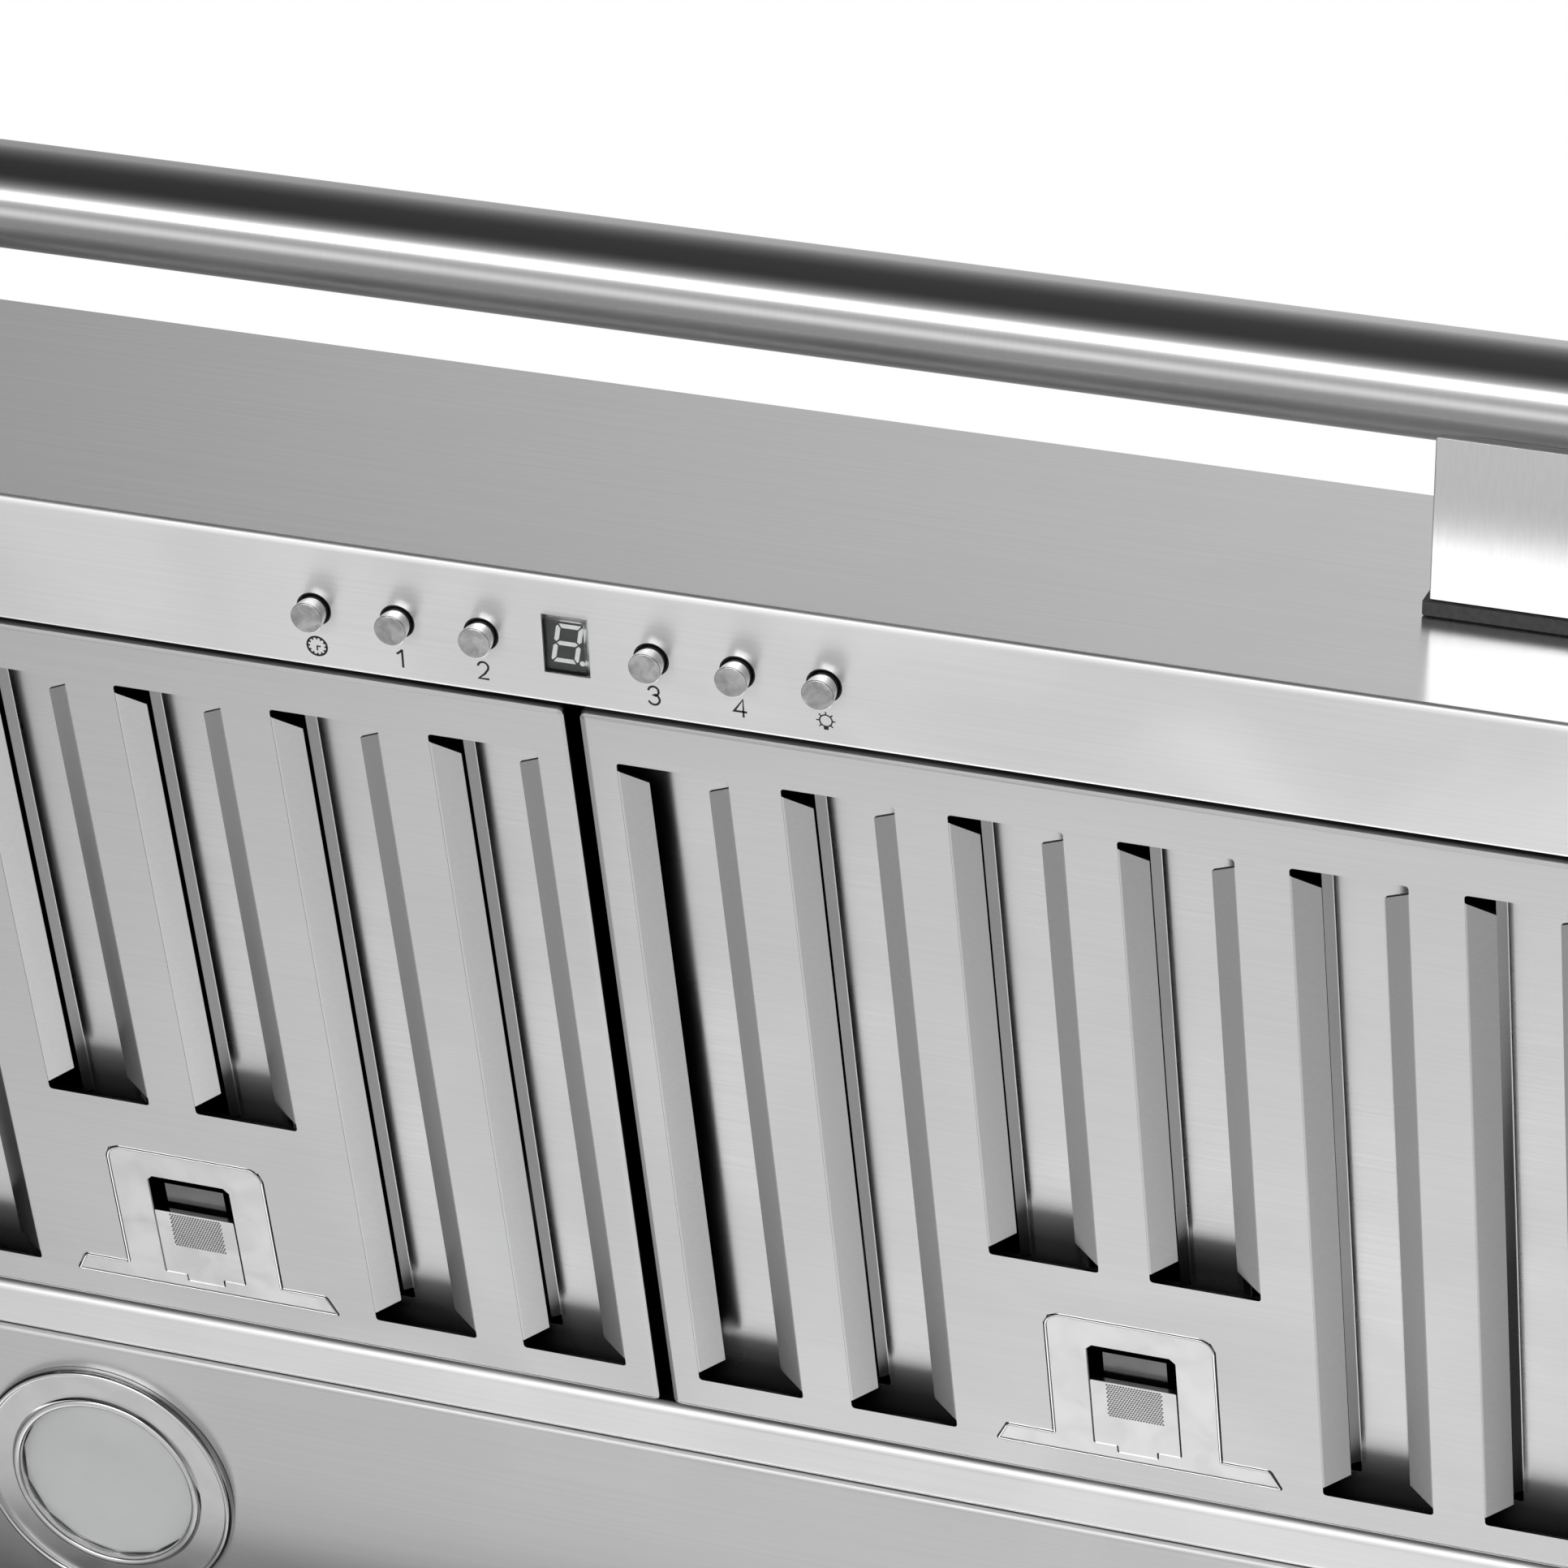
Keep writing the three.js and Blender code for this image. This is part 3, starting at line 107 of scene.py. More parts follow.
def node(tree, kind, **settings):
    made = tree.nodes.new(kind)
    for key, value in settings.items():
        setattr(made, key, value)
    return made


def feed(tree, socket, value):
    """Links another node's output to the socket, or sets a plain value on it."""
    if isinstance(value, bpy.types.NodeSocket):
        tree.links.new(value, socket)
    elif value is not None:
        socket.default_value = value


def math_node(tree, operation, first, second=None, third=None):
    made = node(tree, "ShaderNodeMath", operation=operation)
    for socket, value in zip(made.inputs, (first, second, third)):
        feed(tree, socket, value)
    return made.outputs[0]


def vector_node(tree, operation, first, second):
    made = node(tree, "ShaderNodeVectorMath", operation=operation)
    feed(tree, made.inputs[0], first)
    feed(tree, made.inputs[1], second)
    return made.outputs["Value" if operation == "DOT_PRODUCT" else "Vector"]


def coordinates(tree, kind):
    """The place or normal of the point that is shaded."""
    return node(tree, "ShaderNodeTexCoord").outputs[kind]


def axis_part(tree, vector, axis):
    """One axis of a vector, such as how far a normal faces up."""
    parts = node(tree, "ShaderNodeSeparateXYZ")
    tree.links.new(vector, parts.inputs[0])
    return parts.outputs[axis]


def spread(tree, value, low, high, start=0.0, end=1.0):
    """The value, moved from start..end to low..high."""
    made = node(tree, "ShaderNodeMapRange")
    tree.links.new(value, made.inputs["Value"])
    for name, number in (("From Min", start), ("From Max", end), ("To Min", low), ("To Max", high)):
        made.inputs[name].default_value = number
    return made.outputs["Result"]


def blend_colours(tree, factor, first, second):
    """From the first colour to the second. The first may be another node's output."""
    made = node(tree, "ShaderNodeMix", data_type="RGBA")
    tree.links.new(factor, made.inputs["Factor"])
    feed(tree, made.inputs["A"], first if isinstance(first, bpy.types.NodeSocket) else (*first, 1))
    made.inputs["B"].default_value = (*second, 1)
    return made.outputs["Result"]


def bump(tree, shader, height, distance):
    made = node(tree, "ShaderNodeBump")
    made.inputs["Distance"].default_value = distance
    tree.links.new(height, made.inputs["Height"])
    tree.links.new(made.outputs["Normal"], shader.inputs["Normal"])


def new_group(name, inputs, outputs):
    tree = bpy.data.node_groups.new(name, "ShaderNodeTree")
    for label, kind, value in inputs:
        socket = tree.interface.new_socket(label, in_out="INPUT", socket_type=kind)
        socket.default_value = value
    for label in outputs:
        tree.interface.new_socket(label, in_out="OUTPUT", socket_type="NodeSocketFloat")
    return tree, tree.nodes.new("NodeGroupInput"), tree.nodes.new("NodeGroupOutput")


def brushed_grain_group():
    """Fine long streaks. Stretch is how many streaks a metre holds along each axis."""
    tree, given, result = new_group(
        "brushed_grain", [("Stretch", "NodeSocketVector", (10, 900, 900))], ["Streaks", "Hairlines"]
    )
    stretched = vector_node(tree, "MULTIPLY", coordinates(tree, "Object"), given.outputs["Stretch"])
    for label, scale, detail in (("Streaks", 1.0, 4), ("Hairlines", 2.7, 1)):
        noise = node(tree, "ShaderNodeTexNoise")
        noise.inputs["Scale"].default_value = scale
        noise.inputs["Detail"].default_value = detail
        tree.links.new(stretched, noise.inputs["Vector"])
        tree.links.new(spread(tree, noise.outputs["Fac"], 0, 1, 0.3, 0.7), result.inputs[label])
    return tree


def handling_group():
    """Soft clouds of polish and handling marks, and a few small pits."""
    tree, given, result = new_group("handling", [("Scale", "NodeSocketFloat", 9.0)], ["Clouds", "Pits"])
    place = coordinates(tree, "Object")
    clouds = node(tree, "ShaderNodeTexNoise")
    clouds.inputs["Detail"].default_value = 3
    clouds.inputs["Distortion"].default_value = 0.6
    tree.links.new(place, clouds.inputs["Vector"])
    tree.links.new(given.outputs["Scale"], clouds.inputs["Scale"])
    tree.links.new(spread(tree, clouds.outputs["Fac"], 0, 1, 0.35, 0.65), result.inputs["Clouds"])
    pits = node(tree, "ShaderNodeTexVoronoi")
    pits.inputs["Scale"].default_value = 55
    tree.links.new(place, pits.inputs["Vector"])
    tree.links.new(spread(tree, pits.outputs["Distance"], 1, 0, 0.02, 0.05), result.inputs["Pits"])
    return tree


def painted_inner_shade_group():
    """Masks for painted shade on faces inside the hood. Above: all that don't look down. Behind: those that
    look at the middle.
    """
    tree, _, result = new_group("painted_inner_shade", [], ["Above", "Behind"])
    normal = coordinates(tree, "Normal")
    tree.links.new(spread(tree, axis_part(tree, normal, "Z"), 0, 1, -0.35, -0.15), result.inputs["Above"])
    from_middle = vector_node(tree, "SUBTRACT", coordinates(tree, "Object"), (0, -0.25, -0.1))
    facing = vector_node(tree, "DOT_PRODUCT", from_middle, normal)
    tree.links.new(spread(tree, facing, 1, 0, -0.02, 0.0), result.inputs["Behind"])
    return tree


GRAIN = brushed_grain_group()
HANDLING = handling_group()
PAINTED_INNER_SHADE = painted_inner_shade_group()


def use_group(tree, group, **values):
    made = node(tree, "ShaderNodeGroup", node_tree=group)
    for name, value in values.items():
        made.inputs[name].default_value = value
    return made.outputs


def plain_grey(level):
    return (level, level, level)


def cool_grey(level):
    return (level, level, level + 0.003)


def brushed_metal(
    name, grey, stretch, roughness, across, contrast, relief=4e-6, inner=None, painted_inner_shade_grey=0.06
):
    """Brushed sheet: streaked grey, gloss spread across the streaks, fine relief, and painted shade that
    darkens the inner side.
    """
    material, tree, shader = new_material(name)
    grain = use_group(tree, GRAIN, Stretch=stretch)
    marks = use_group(tree, HANDLING, Scale=9.0)
    streaks = math_node(tree, "MULTIPLY", grain["Streaks"], 0.55)
    mixed = math_node(tree, "MULTIPLY_ADD", marks["Clouds"], 0.45, streaks)
    dark, light = grey * (1 - contrast), min(1.0, grey * (1 + contrast))
    colour = blend_colours(tree, mixed, cool_grey(dark), cool_grey(light))
    # Painted shade: the chosen inner faces are blended to a near-black grey.
    if inner:
        colour = blend_colours(tree, use_group(tree, PAINTED_INNER_SHADE)[inner], colour, plain_grey(painted_inner_shade_grey))
    tree.links.new(colour, shader.inputs["Base Color"])
    gloss = spread(tree, marks["Clouds"], roughness - 0.03, roughness + 0.04)
    low_angle = node(tree, "ShaderNodeLayerWeight").outputs["Facing"]
    sharper = spread(tree, low_angle, 1, 0.5, 0.35, 0.65)
    tree.links.new(math_node(tree, "MULTIPLY", gloss, sharper), shader.inputs["Roughness"])
    shader.inputs["Metallic"].default_value = 1
    shader.inputs["Anisotropic"].default_value = across
    shader.inputs["Anisotropic Rotation"].default_value = 0.25
    along = node(tree, "ShaderNodeCombineXYZ")
    along.inputs[stretch.index(min(stretch))].default_value = 1
    tree.links.new(along.outputs[0], shader.inputs["Tangent"])
    if relief:
        pits = math_node(tree, "MULTIPLY", marks["Pits"], 1.5)
        bump(tree, shader, math_node(tree, "SUBTRACT", grain["Hairlines"], pits), relief)
    return material


def clouded_material(name, scale, dark, light):
    """A material whose colour drifts softly from dark to light, and the clouds that it follows."""
    material, tree, shader = new_material(name)
    clouds = use_group(tree, HANDLING, Scale=scale)["Clouds"]
    tree.links.new(blend_colours(tree, clouds, dark, light), shader.inputs["Base Color"])
    return material, tree, shader, clouds


def turned_metal(name, grey, satin, cloud_scale, contrast):
    """Turned metal with a satin face that looks down and a polished wall."""
    dark, light = plain_grey(grey * (1 - contrast)), plain_grey(min(1, grey * (1 + contrast)))
    material, tree, shader, clouds = clouded_material(name, cloud_scale, dark, light)
    face = spread(tree, axis_part(tree, coordinates(tree, "Normal"), "Z"), satin, 0.07, -0.95, -0.75)
    tree.links.new(math_node(tree, "MULTIPLY_ADD", clouds, 0.05, face), shader.inputs["Roughness"])
    shader.inputs["Metallic"].default_value = 1
    return material


def latch_metal():
    """Plated latch metal, with painted shade that turns it near black in the pocket above the filter's face.
    """
    material, tree, shader = new_material("plated_latch_body")
    clouds = use_group(tree, HANDLING, Scale=60.0)["Clouds"]
    plated = blend_colours(tree, clouds, plain_grey(0.43), plain_grey(0.47))
    tilt = math.radians(FILTER_TILT)
    from_edge = vector_node(tree, "SUBTRACT", coordinates(tree, "Object"), (0, FILTER_Y * MM, STRIP_Z * MM))
    rise = vector_node(tree, "DOT_PRODUCT", from_edge, (0, -math.sin(tilt), math.cos(tilt)))
    # Painted shade: the higher a point rises above the filter's face into the pocket, the darker it is
    # painted.
    pocket = spread(tree, rise, 0, 1, 0.0005, 0.0045)
    tree.links.new(blend_colours(tree, pocket, plated, plain_grey(0.05)), shader.inputs["Base Color"])
    tree.links.new(spread(tree, clouds, 0.18, 0.28), shader.inputs["Roughness"])
    shader.inputs["Metallic"].default_value = 1
    return material


def cast_metal(name, grey, roughness):
    """Smooth metal with soft clouds of polish."""
    dark, light = plain_grey(grey * 0.94), plain_grey(grey * 1.06)
    material, tree, shader, clouds = clouded_material(name, 60.0, dark, light)
    tree.links.new(spread(tree, clouds, roughness * 0.8, roughness * 1.3), shader.inputs["Roughness"])
    shader.inputs["Metallic"].default_value = 1
    return material


def moulded(name, colour, roughness, scale=400.0, relief=2e-5, variation=0.18):
    """Plastic, rubber or paint with a fine matt texture."""
    dark = tuple(c * (1 - variation) for c in colour)
    light = tuple(min(1.0, c * (1 + variation)) for c in colour)
    material, tree, shader, clouds = clouded_material(name, scale, dark, light)
    tree.links.new(spread(tree, clouds, roughness - 0.06, roughness + 0.08), shader.inputs["Roughness"])
    bump(tree, shader, clouds, relief)
    return material


def galvanised_sheet(name, dark, light):
    """Zinc spangle: flat crystals, each with a grey of its own."""
    material, tree, shader = new_material(name)
    place = coordinates(tree, "Object")
    crystals = node(tree, "ShaderNodeTexVoronoi")
    crystals.inputs["Scale"].default_value = 110
    tree.links.new(place, crystals.inputs["Vector"])
    clouds = use_group(tree, HANDLING, Scale=14.0)["Clouds"]
    separate = node(tree, "ShaderNodeSeparateColor")
    tree.links.new(crystals.outputs["Color"], separate.inputs[0])
    own_grey = math_node(tree, "MULTIPLY", separate.outputs[0], 0.6)
    mixed = math_node(tree, "MULTIPLY_ADD", clouds, 0.4, own_grey)
    colour = blend_colours(tree, mixed, (dark, dark * 1.03, dark * 1.05), (light, light * 1.01, light * 1.02))
    tree.links.new(colour, shader.inputs["Base Color"])
    tree.links.new(spread(tree, mixed, 0.32, 0.5), shader.inputs["Roughness"])
    shader.inputs["Metallic"].default_value = 1
    return material


def clear_material(name, tint, refraction, frosted_sides=False):
    """Clear plastic or glass with a slightly uneven polish, and frosted upright sides where asked for."""
    material, tree, shader = new_material(name)
    gloss = spread(tree, use_group(tree, HANDLING, Scale=120.0)["Clouds"], 0.02, 0.07)
    if frosted_sides:
        level = math_node(tree, "ABSOLUTE", axis_part(tree, coordinates(tree, "Normal"), "Z"))
        gloss = math_node(tree, "ADD", gloss, spread(tree, level, 0.5, 0, 0.6, 0.97))
    tree.links.new(gloss, shader.inputs["Roughness"])
    shader.inputs["Base Color"].default_value = (*tint, 1)
    shader.inputs["Transmission Weight"].default_value = 1
    shader.inputs["IOR"].default_value = refraction
    return material


def flat_coating(name, scale, dark, light, roughness):
    """Ink or board lacquer: soft clouds of colour with an even gloss."""
    material, _, shader, _ = clouded_material(name, scale, dark, light)
    shader.inputs["Roughness"].default_value = roughness
    return material


SHEET_GRAIN, FILTER_GRAIN, CHANNEL_GRAIN = (9, 1000, 1000), (14, 1200, 1200), (14, 1100, 1100)
# Painted shade: the brushed sheets below turn near black on their inner faces, by the Behind or Above mask.
BRUSHED = brushed_metal("brushed_steel", 0.92, SHEET_GRAIN, 0.36, 0.7, 0.045, inner="Behind")
RAIL_STEEL = brushed_metal("brushed_rail_steel", 0.94, SHEET_GRAIN, 0.36, 0.7, 0.045, inner="Above")
# Painted shade: the lamp panel's steel is a darker copy of the ledge's, standing for light that falls off
# towards the rear.
SHADED_PANEL_STEEL = brushed_metal("brushed_panel_steel_painted_shade", 0.7, SHEET_GRAIN, 0.36, 0.7, 0.045, inner="Above")
SATIN = brushed_metal("satin_filter_steel", 0.6, FILTER_GRAIN, 0.35, 0.7, 0.05, 8e-7, "Above", 0.02)
CHANNEL = brushed_metal("channel_steel", 0.57, CHANNEL_GRAIN, 0.27, 0.8, 0.05, 0.0, "Above", 0.02)
FOLD_STEEL = brushed_metal("fold_steel", 0.62, CHANNEL_GRAIN, 0.27, 0.8, 0.05, 0.0)
BAR_STEEL = brushed_metal("bar_steel", 0.72, (1800, 40, 40), 0.22, 0.85, 0.03, 1.5e-6)
BRACKET_STEEL = brushed_metal("bracket_steel", 0.76, (900, 14, 900), 0.32, 0.6, 0.06, 3e-6)
KEY_STEEL = turned_metal("turned_key_steel", 0.78, 0.2, 170.0, 0.2)
LATCH_METAL = cast_metal("plated_latch", 0.5, 0.22)
LATCH_BODY = latch_metal()
BEAD_METAL = cast_metal("polished_bead", 0.74, 0.1)
SPRING_WIRE = cast_metal("spring_wire", 0.6, 0.25)
LAMP_CHROME = turned_metal("lamp_chrome", 0.85, 0.36, 60.0, 0.04)
ZINC = galvanised_sheet("galvanised_sheet", 0.42, 0.62)
# Painted shade: a much darker copy of the zinc for the blower, motor bracket, junction box and lamp housings
# inside the hood.
SHADED_ZINC = galvanised_sheet("galvanised_sheet_painted_shade", 0.12, 0.2)
GASKET = moulded("gasket_rubber", (0.11, 0.11, 0.11), 0.55)
BLACK = moulded("black_plastic", (0.02, 0.02, 0.021), 0.42)
DISPLAY_FACE = moulded("display_face", (0.02, 0.02, 0.021), 0.5)
SEGMENT = moulded("display_segment", (0.93, 0.93, 0.93), 0.4, 400.0, 4e-6, 0.04)
MOTOR_ENAMEL = moulded("motor_enamel", (0.03, 0.032, 0.035), 0.4)
REFLECTOR = moulded("lamp_reflector", (0.86, 0.86, 0.85), 0.35, 60.0, 2e-6, 0.02)
WINDOW = clear_material("display_clear", (0.96, 0.97, 0.97), 1.34, frosted_sides=True)
LENS = clear_material("lamp_clear", (0.97, 0.98, 0.98), 1.49)
INK = flat_coating("printed_ink", 900.0, plain_grey(0.008), plain_grey(0.02), 0.5)
BOARD = flat_coating("circuit_board", 300.0, (0.02, 0.09, 0.05), (0.03, 0.16, 0.08), 0.45)


# ------------------------------------------------------------------ mesh helpers
def new_object(name, data):
    made = bpy.data.objects.new(name, data)
    bpy.context.scene.collection.objects.link(made)
    return made


def shade(piece, angle, edge):
    """Rounds the sharp edges a little, and shades bends smooth and flats flat."""
    weld = piece.modifiers.new("weld", "WELD")
    weld.merge_threshold = 2e-6
    if edge:
        bevel = piece.modifiers.new("edge", "BEVEL")
        bevel.width = edge * MM
        bevel.segments = 2
        bevel.limit_method = "ANGLE"
        bevel.angle_limit = math.radians(50)
        bevel.use_clamp_overlap = True
    split = piece.modifiers.new("split", "EDGE_SPLIT")
    split.split_angle = math.radians(angle)
    split.use_edge_sharp = False
    normals = piece.modifiers.new("normals", "WEIGHTED_NORMAL")
    normals.weight = 80
    for face in piece.data.polygons:
        face.use_smooth = True


def dress(name, material, angle=40, edge=0.0):
    """Gives a CAD node its finish."""
    piece = nodes[name]
    if piece.data.has_custom_normals:
        piece.data.normals_split_custom_set([(0, 0, 0)] * len(piece.data.loops))
    for slot in piece.material_slots:
        slot.material = material
    shade(piece, angle, edge)


def finished(name, mesh_source, place, material, body="hood", stands_for="", angle=32, edge=0.0):
    """A new piece from a bmesh in millimetres, placed, dressed and riding on its body."""
    bmesh.ops.recalc_face_normals(mesh_source, faces=mesh_source.faces)
    mesh_source.transform(place)
    mesh = bpy.data.meshes.new(name)
    mesh_source.to_mesh(mesh)
    mesh_source.free()
    mesh.materials.append(material)
    piece = new_object(name, mesh)
    shade(piece, angle, edge)
    if stands_for:
        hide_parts(stands_for)
    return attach(piece, body)


def add_ring_band(source, ring, other):
    """Faces between two rings of vertices. A ring that is one repeated vertex makes triangles."""
    for i in range(len(ring)):
        j = (i + 1) % len(ring)
        corners = [ring[i], ring[j], other[j], other[i]]
        corners = [v for n, v in enumerate(corners) if v not in corners[:n]]
        if len(corners) > 2 and source.faces.get(corners) is None:
            source.faces.new(corners)


def turned(profile, steps=64, source=None, place=None):
    """Points of [radius, height] turned about the upright axis. A profile off the axis closes on itself."""
    source = source or bmesh.new()
    place = place or Matrix.Identity(4)
    rings = []
    for radius, height in profile:
        if radius < 1e-9:
            rings.append([source.verts.new(place @ Vector((0, 0, height)))] * steps)
            continue
        angles = [2 * math.pi * i / steps for i in range(steps)]
        points = [Vector((radius * math.cos(a), radius * math.sin(a), height)) for a in angles]
        rings.append([source.verts.new(place @ p) for p in points])
    pairs = list(zip(rings, rings[1:]))
    if profile[0][0] > 1e-9 and profile[-1][0] > 1e-9:
        pairs.append((rings[-1], rings[0]))
    for ring, other in pairs:
        add_ring_band(source, ring, other)
    return source


def arc(centre, radius, start, end, steps=6):
    """Points of an arc, with the angles in degrees."""
    angles = [math.radians(start + (end - start) * i / steps) for i in range(steps + 1)]
    return [(centre[0] + radius * math.cos(a), centre[1] + radius * math.sin(a)) for a in angles]


def rounded(corners, radius, steps=5):
    """A closed outline with rounded corners, from [x, y] points or [x, y, own radius]."""
    points = []
    for i, corner in enumerate(corners):
        here = Vector(corner[:2])
        r = corner[2] if len(corner) > 2 else radius
        back = (Vector(corners[i - 1][:2]) - here).normalized()
        forth = (Vector(corners[(i + 1) % len(corners)][:2]) - here).normalized()
        if r <= 0:
            points.append(here)
            continue
        half = math.acos(max(-1, min(1, back.dot(forth)))) / 2
        centre = here + (back + forth).normalized() * (r / math.sin(half))
        first = here + back * (r / math.tan(half)) - centre
        last = here + forth * (r / math.tan(half)) - centre
        turn = math.atan2(first.x * last.y - first.y * last.x, first.dot(last))
        for k in range(steps + 1):
            points.append(centre + Matrix.Rotation(turn * k / steps, 2) @ first)
    return points


def rectangle(x0, y0, x1, y1, radius=0.0):
    return rounded([(x0, y0), (x1, y0), (x1, y1), (x0, y1)], radius)


def prism(outline, low, high, source=None, place=None):
    """A closed outline raised from low to high."""
    source = source or bmesh.new()
    place = place or Matrix.Identity(4)
    rings = [[source.verts.new(place @ Vector((p[0], p[1], z))) for p in outline] for z in (low, high)]
    source.faces.new(rings[0][::-1])
    source.faces.new(rings[1])
    add_ring_band(source, rings[0], rings[1])
    return source


def bent_section(line, side, thickness=SHEET):
    """The closed section of a bent sheet whose outer face runs along [depth, height, inside radius]."""
    points = [Vector(p[:2]) for p in line]
    radii = [(p[2] if len(p) > 2 else BEND_RADIUS) + thickness / 2 for p in line]
    along = [(b - a).normalized() for a, b in zip(points, points[1:])]
    middle = []
    for i, p in enumerate(points):
        u, v = along[max(i - 1, 0)], along[min(i, len(along) - 1)]
        left = Vector((-u.y - v.y, u.x + v.x))
        middle.append(p + left * (side * thickness / 2 / (1 + u.dot(v))))
    samples = []
    for i, p in enumerate(middle):
        radius = radii[i]
        u, v = along[max(i - 1, 0)], along[min(i, len(along) - 1)]
        turn = math.atan2(u.x * v.y - u.y * v.x, u.dot(v))
        normal = Vector((-u.y, u.x))
        if abs(turn) < 0.02:
            samples.append((p, normal))
            continue
        steps = max(1, round(abs(math.degrees(turn)) / 9))
        start = p - u * (radius * math.tan(abs(turn) / 2))
        centre = start + normal * (radius * math.copysign(1, turn))
        for k in range(steps + 1):
            spin = Matrix.Rotation(turn * k / steps, 2)
            samples.append((centre + spin @ (start - centre), spin @ normal))
    left = [p + n * (thickness / 2) for p, n in samples]
    right = [p - n * (thickness / 2) for p, n in samples]
    return left + right[::-1]


# Turns an outline's own height to run along the width.
ALONG_WIDTH = Matrix(((0, 0, 1, 0), (1, 0, 0, 0), (0, 1, 0, 0), (0, 0, 0, 1)))


def drawn(section, x0, x1):
    """A section in depth and height, drawn out along the width."""
    return prism(section, x0, x1, place=ALONG_WIDTH)


def cut_away(piece, *cutters):
    """Cuts the cutters' shapes out of the piece's mesh, before its other modifiers."""
    for i, source in enumerate(cutters):
        bmesh.ops.recalc_face_normals(source, faces=source.faces)
        mesh = bpy.data.meshes.new("cutter")
        source.to_mesh(mesh)
        source.free()
        made = piece.modifiers.new("cut", "BOOLEAN")
        made.operation = "DIFFERENCE"
        made.solver = "EXACT"
        made.object = new_object("cutter", mesh)
        piece.modifiers.move(len(piece.modifiers) - 1, i)
    shown = [(m, m.show_viewport) for m in piece.modifiers]
    for m, _ in shown:
        m.show_viewport = m.type == "BOOLEAN"
    whole = piece.evaluated_get(bpy.context.evaluated_depsgraph_get())
    piece.data = bpy.data.meshes.new_from_object(whole)
    for m, visible in shown:
        m.show_viewport = visible
    for m in [m for m in piece.modifiers if m.type == "BOOLEAN"]:
        cutter = m.object
        piece.modifiers.remove(m)
        bpy.data.objects.remove(cutter)
    for face in piece.data.polygons:
        face.use_smooth = True


# ------------------------------------------------------------------ front panel
def at_key(x):
    """The place of a key's axis in the strip's frame."""
    return Matrix.Translation((x, KEY_SETBACK, 0))


def window_outline(gap):
    """The display window's outline, made larger by a gap all round."""
    x, y = WINDOW_HALF_X + gap, WINDOW_HALF_Y + gap
    return rectangle(-x, WINDOW_MIDDLE - y, x, WINDOW_MIDDLE + y)


def front_panel():
    """Strip and band in one sheet with true bends, round key holes and the display's opening."""
    lean = math.radians(-BAND_LEAN)
    band_top = Vector((FRONT_Y + BAND_HEIGHT * math.sin(lean), STRIP_Z + BAND_HEIGHT * math.cos(lean)))
    rear = FRONT_Y + STRIP_DEPTH
    back_up = (Vector((front_high.y, front_high.z)) - band_top).normalized()
    soft_bend = [(FRONT_Y + 2.3, STRIP_Z, 4), (FRONT_Y + math.tan(lean), STRIP_Z + 1, 0.8)]
    strip_flange, top_flange, window_gap, bolt_hole_radius = 6, 14, 0.3, 3.3
    line = [(rear, STRIP_Z + strip_flange), (rear, STRIP_Z), *soft_bend, band_top]
    line.append(band_top + back_up * top_flange)
    source = drawn(bent_section(line, -1), -HALF_WIDTH, HALF_WIDTH)
    panel = finished("front_sheet", source, HOOD, BRUSHED, stands_for="front_panel")
    holes = bmesh.new()
    hole = [(0, -2), (KEY_HOLE_RADIUS, -2), (KEY_HOLE_RADIUS, 3), (0, 3)]
    for x in KEYS.values():
        turned(hole, 64, holes, at_key(x))
    prism(window_outline(window_gap), -2, 3, holes)
    holes.transform(STRIP)
    bolts = bmesh.new()
    hole = [(0, -3), (bolt_hole_radius, -3), (bolt_hole_radius, 3), (0, 3)]
    for _, side in LEFT_RIGHT:
        middle = Matrix.Translation((side * BRACKET_MIDDLE, 0, BAR_UP))
        turned(hole, 32, bolts, middle @ Matrix.Rotation(math.pi / 2, 4, "X"))
    bolts.transform(BAND)
    cut_away(panel, holes, bolts)


# ------------------------------------------------------------------ towel bar
def towel_bar():
    """The tube, and a cap with a plug in each end."""
    along = BAND @ Matrix.Translation((0, -BAR_OUT, BAR_UP)) @ Matrix.Rotation(math.pi / 2, 4, "Y")
    half = BAR_HALF_LENGTH
    wall = [(BAR_BORE_RADIUS, -half), (BAR_RADIUS, -half), (BAR_RADIUS, half), (BAR_BORE_RADIUS, half)]
    tube = turned(wall, 128)
    finished("towel_rail", tube, along, BAR_STEEL, stands_for="towel_bar")
    for name, side in LEFT_RIGHT:
        edge = arc((BAR_RADIUS - 1.2, 2.8), 1.2, 0, 90)
        profile = [(0, -12), (17.2, -12), (17.2, 0.3), (BAR_RADIUS, 0.3), *edge, (0, 4.0)]
        outward = Matrix.Rotation(0 if side > 0 else math.pi, 4, "X")
        end = along @ Matrix.Translation((0, 0, side * half)) @ outward
        cap = turned(profile, 128)
        finished("rail_cap_" + name, cap, end, BAR_STEEL, stands_for="bar_cap_" + name)


# ------------------------------------------------------------------ keys, carrier, display, print
def keys():
    """Turned caps with a slightly domed face, each with its flange and stem."""
    for name, x in KEYS.items():
        cap = [(0, -6.95), (2, -6.93), (4, -6.87), *arc((5.5, -6.4), 0.4, -84, 0, 5), (5.45, -1.9)]
        flange = [(5.45, 3.6), (7.35, 3.6), (7.35, 4.6)]
        stem = [(1.75, 4.6), (1.75, 5.8), (0, 5.8)]
        source = turned(cap + flange + stem, 72)
        button = "button_" + name
        finished("key_" + name, source, STRIP @ at_key(x), KEY_STEEL, button, button, 25)


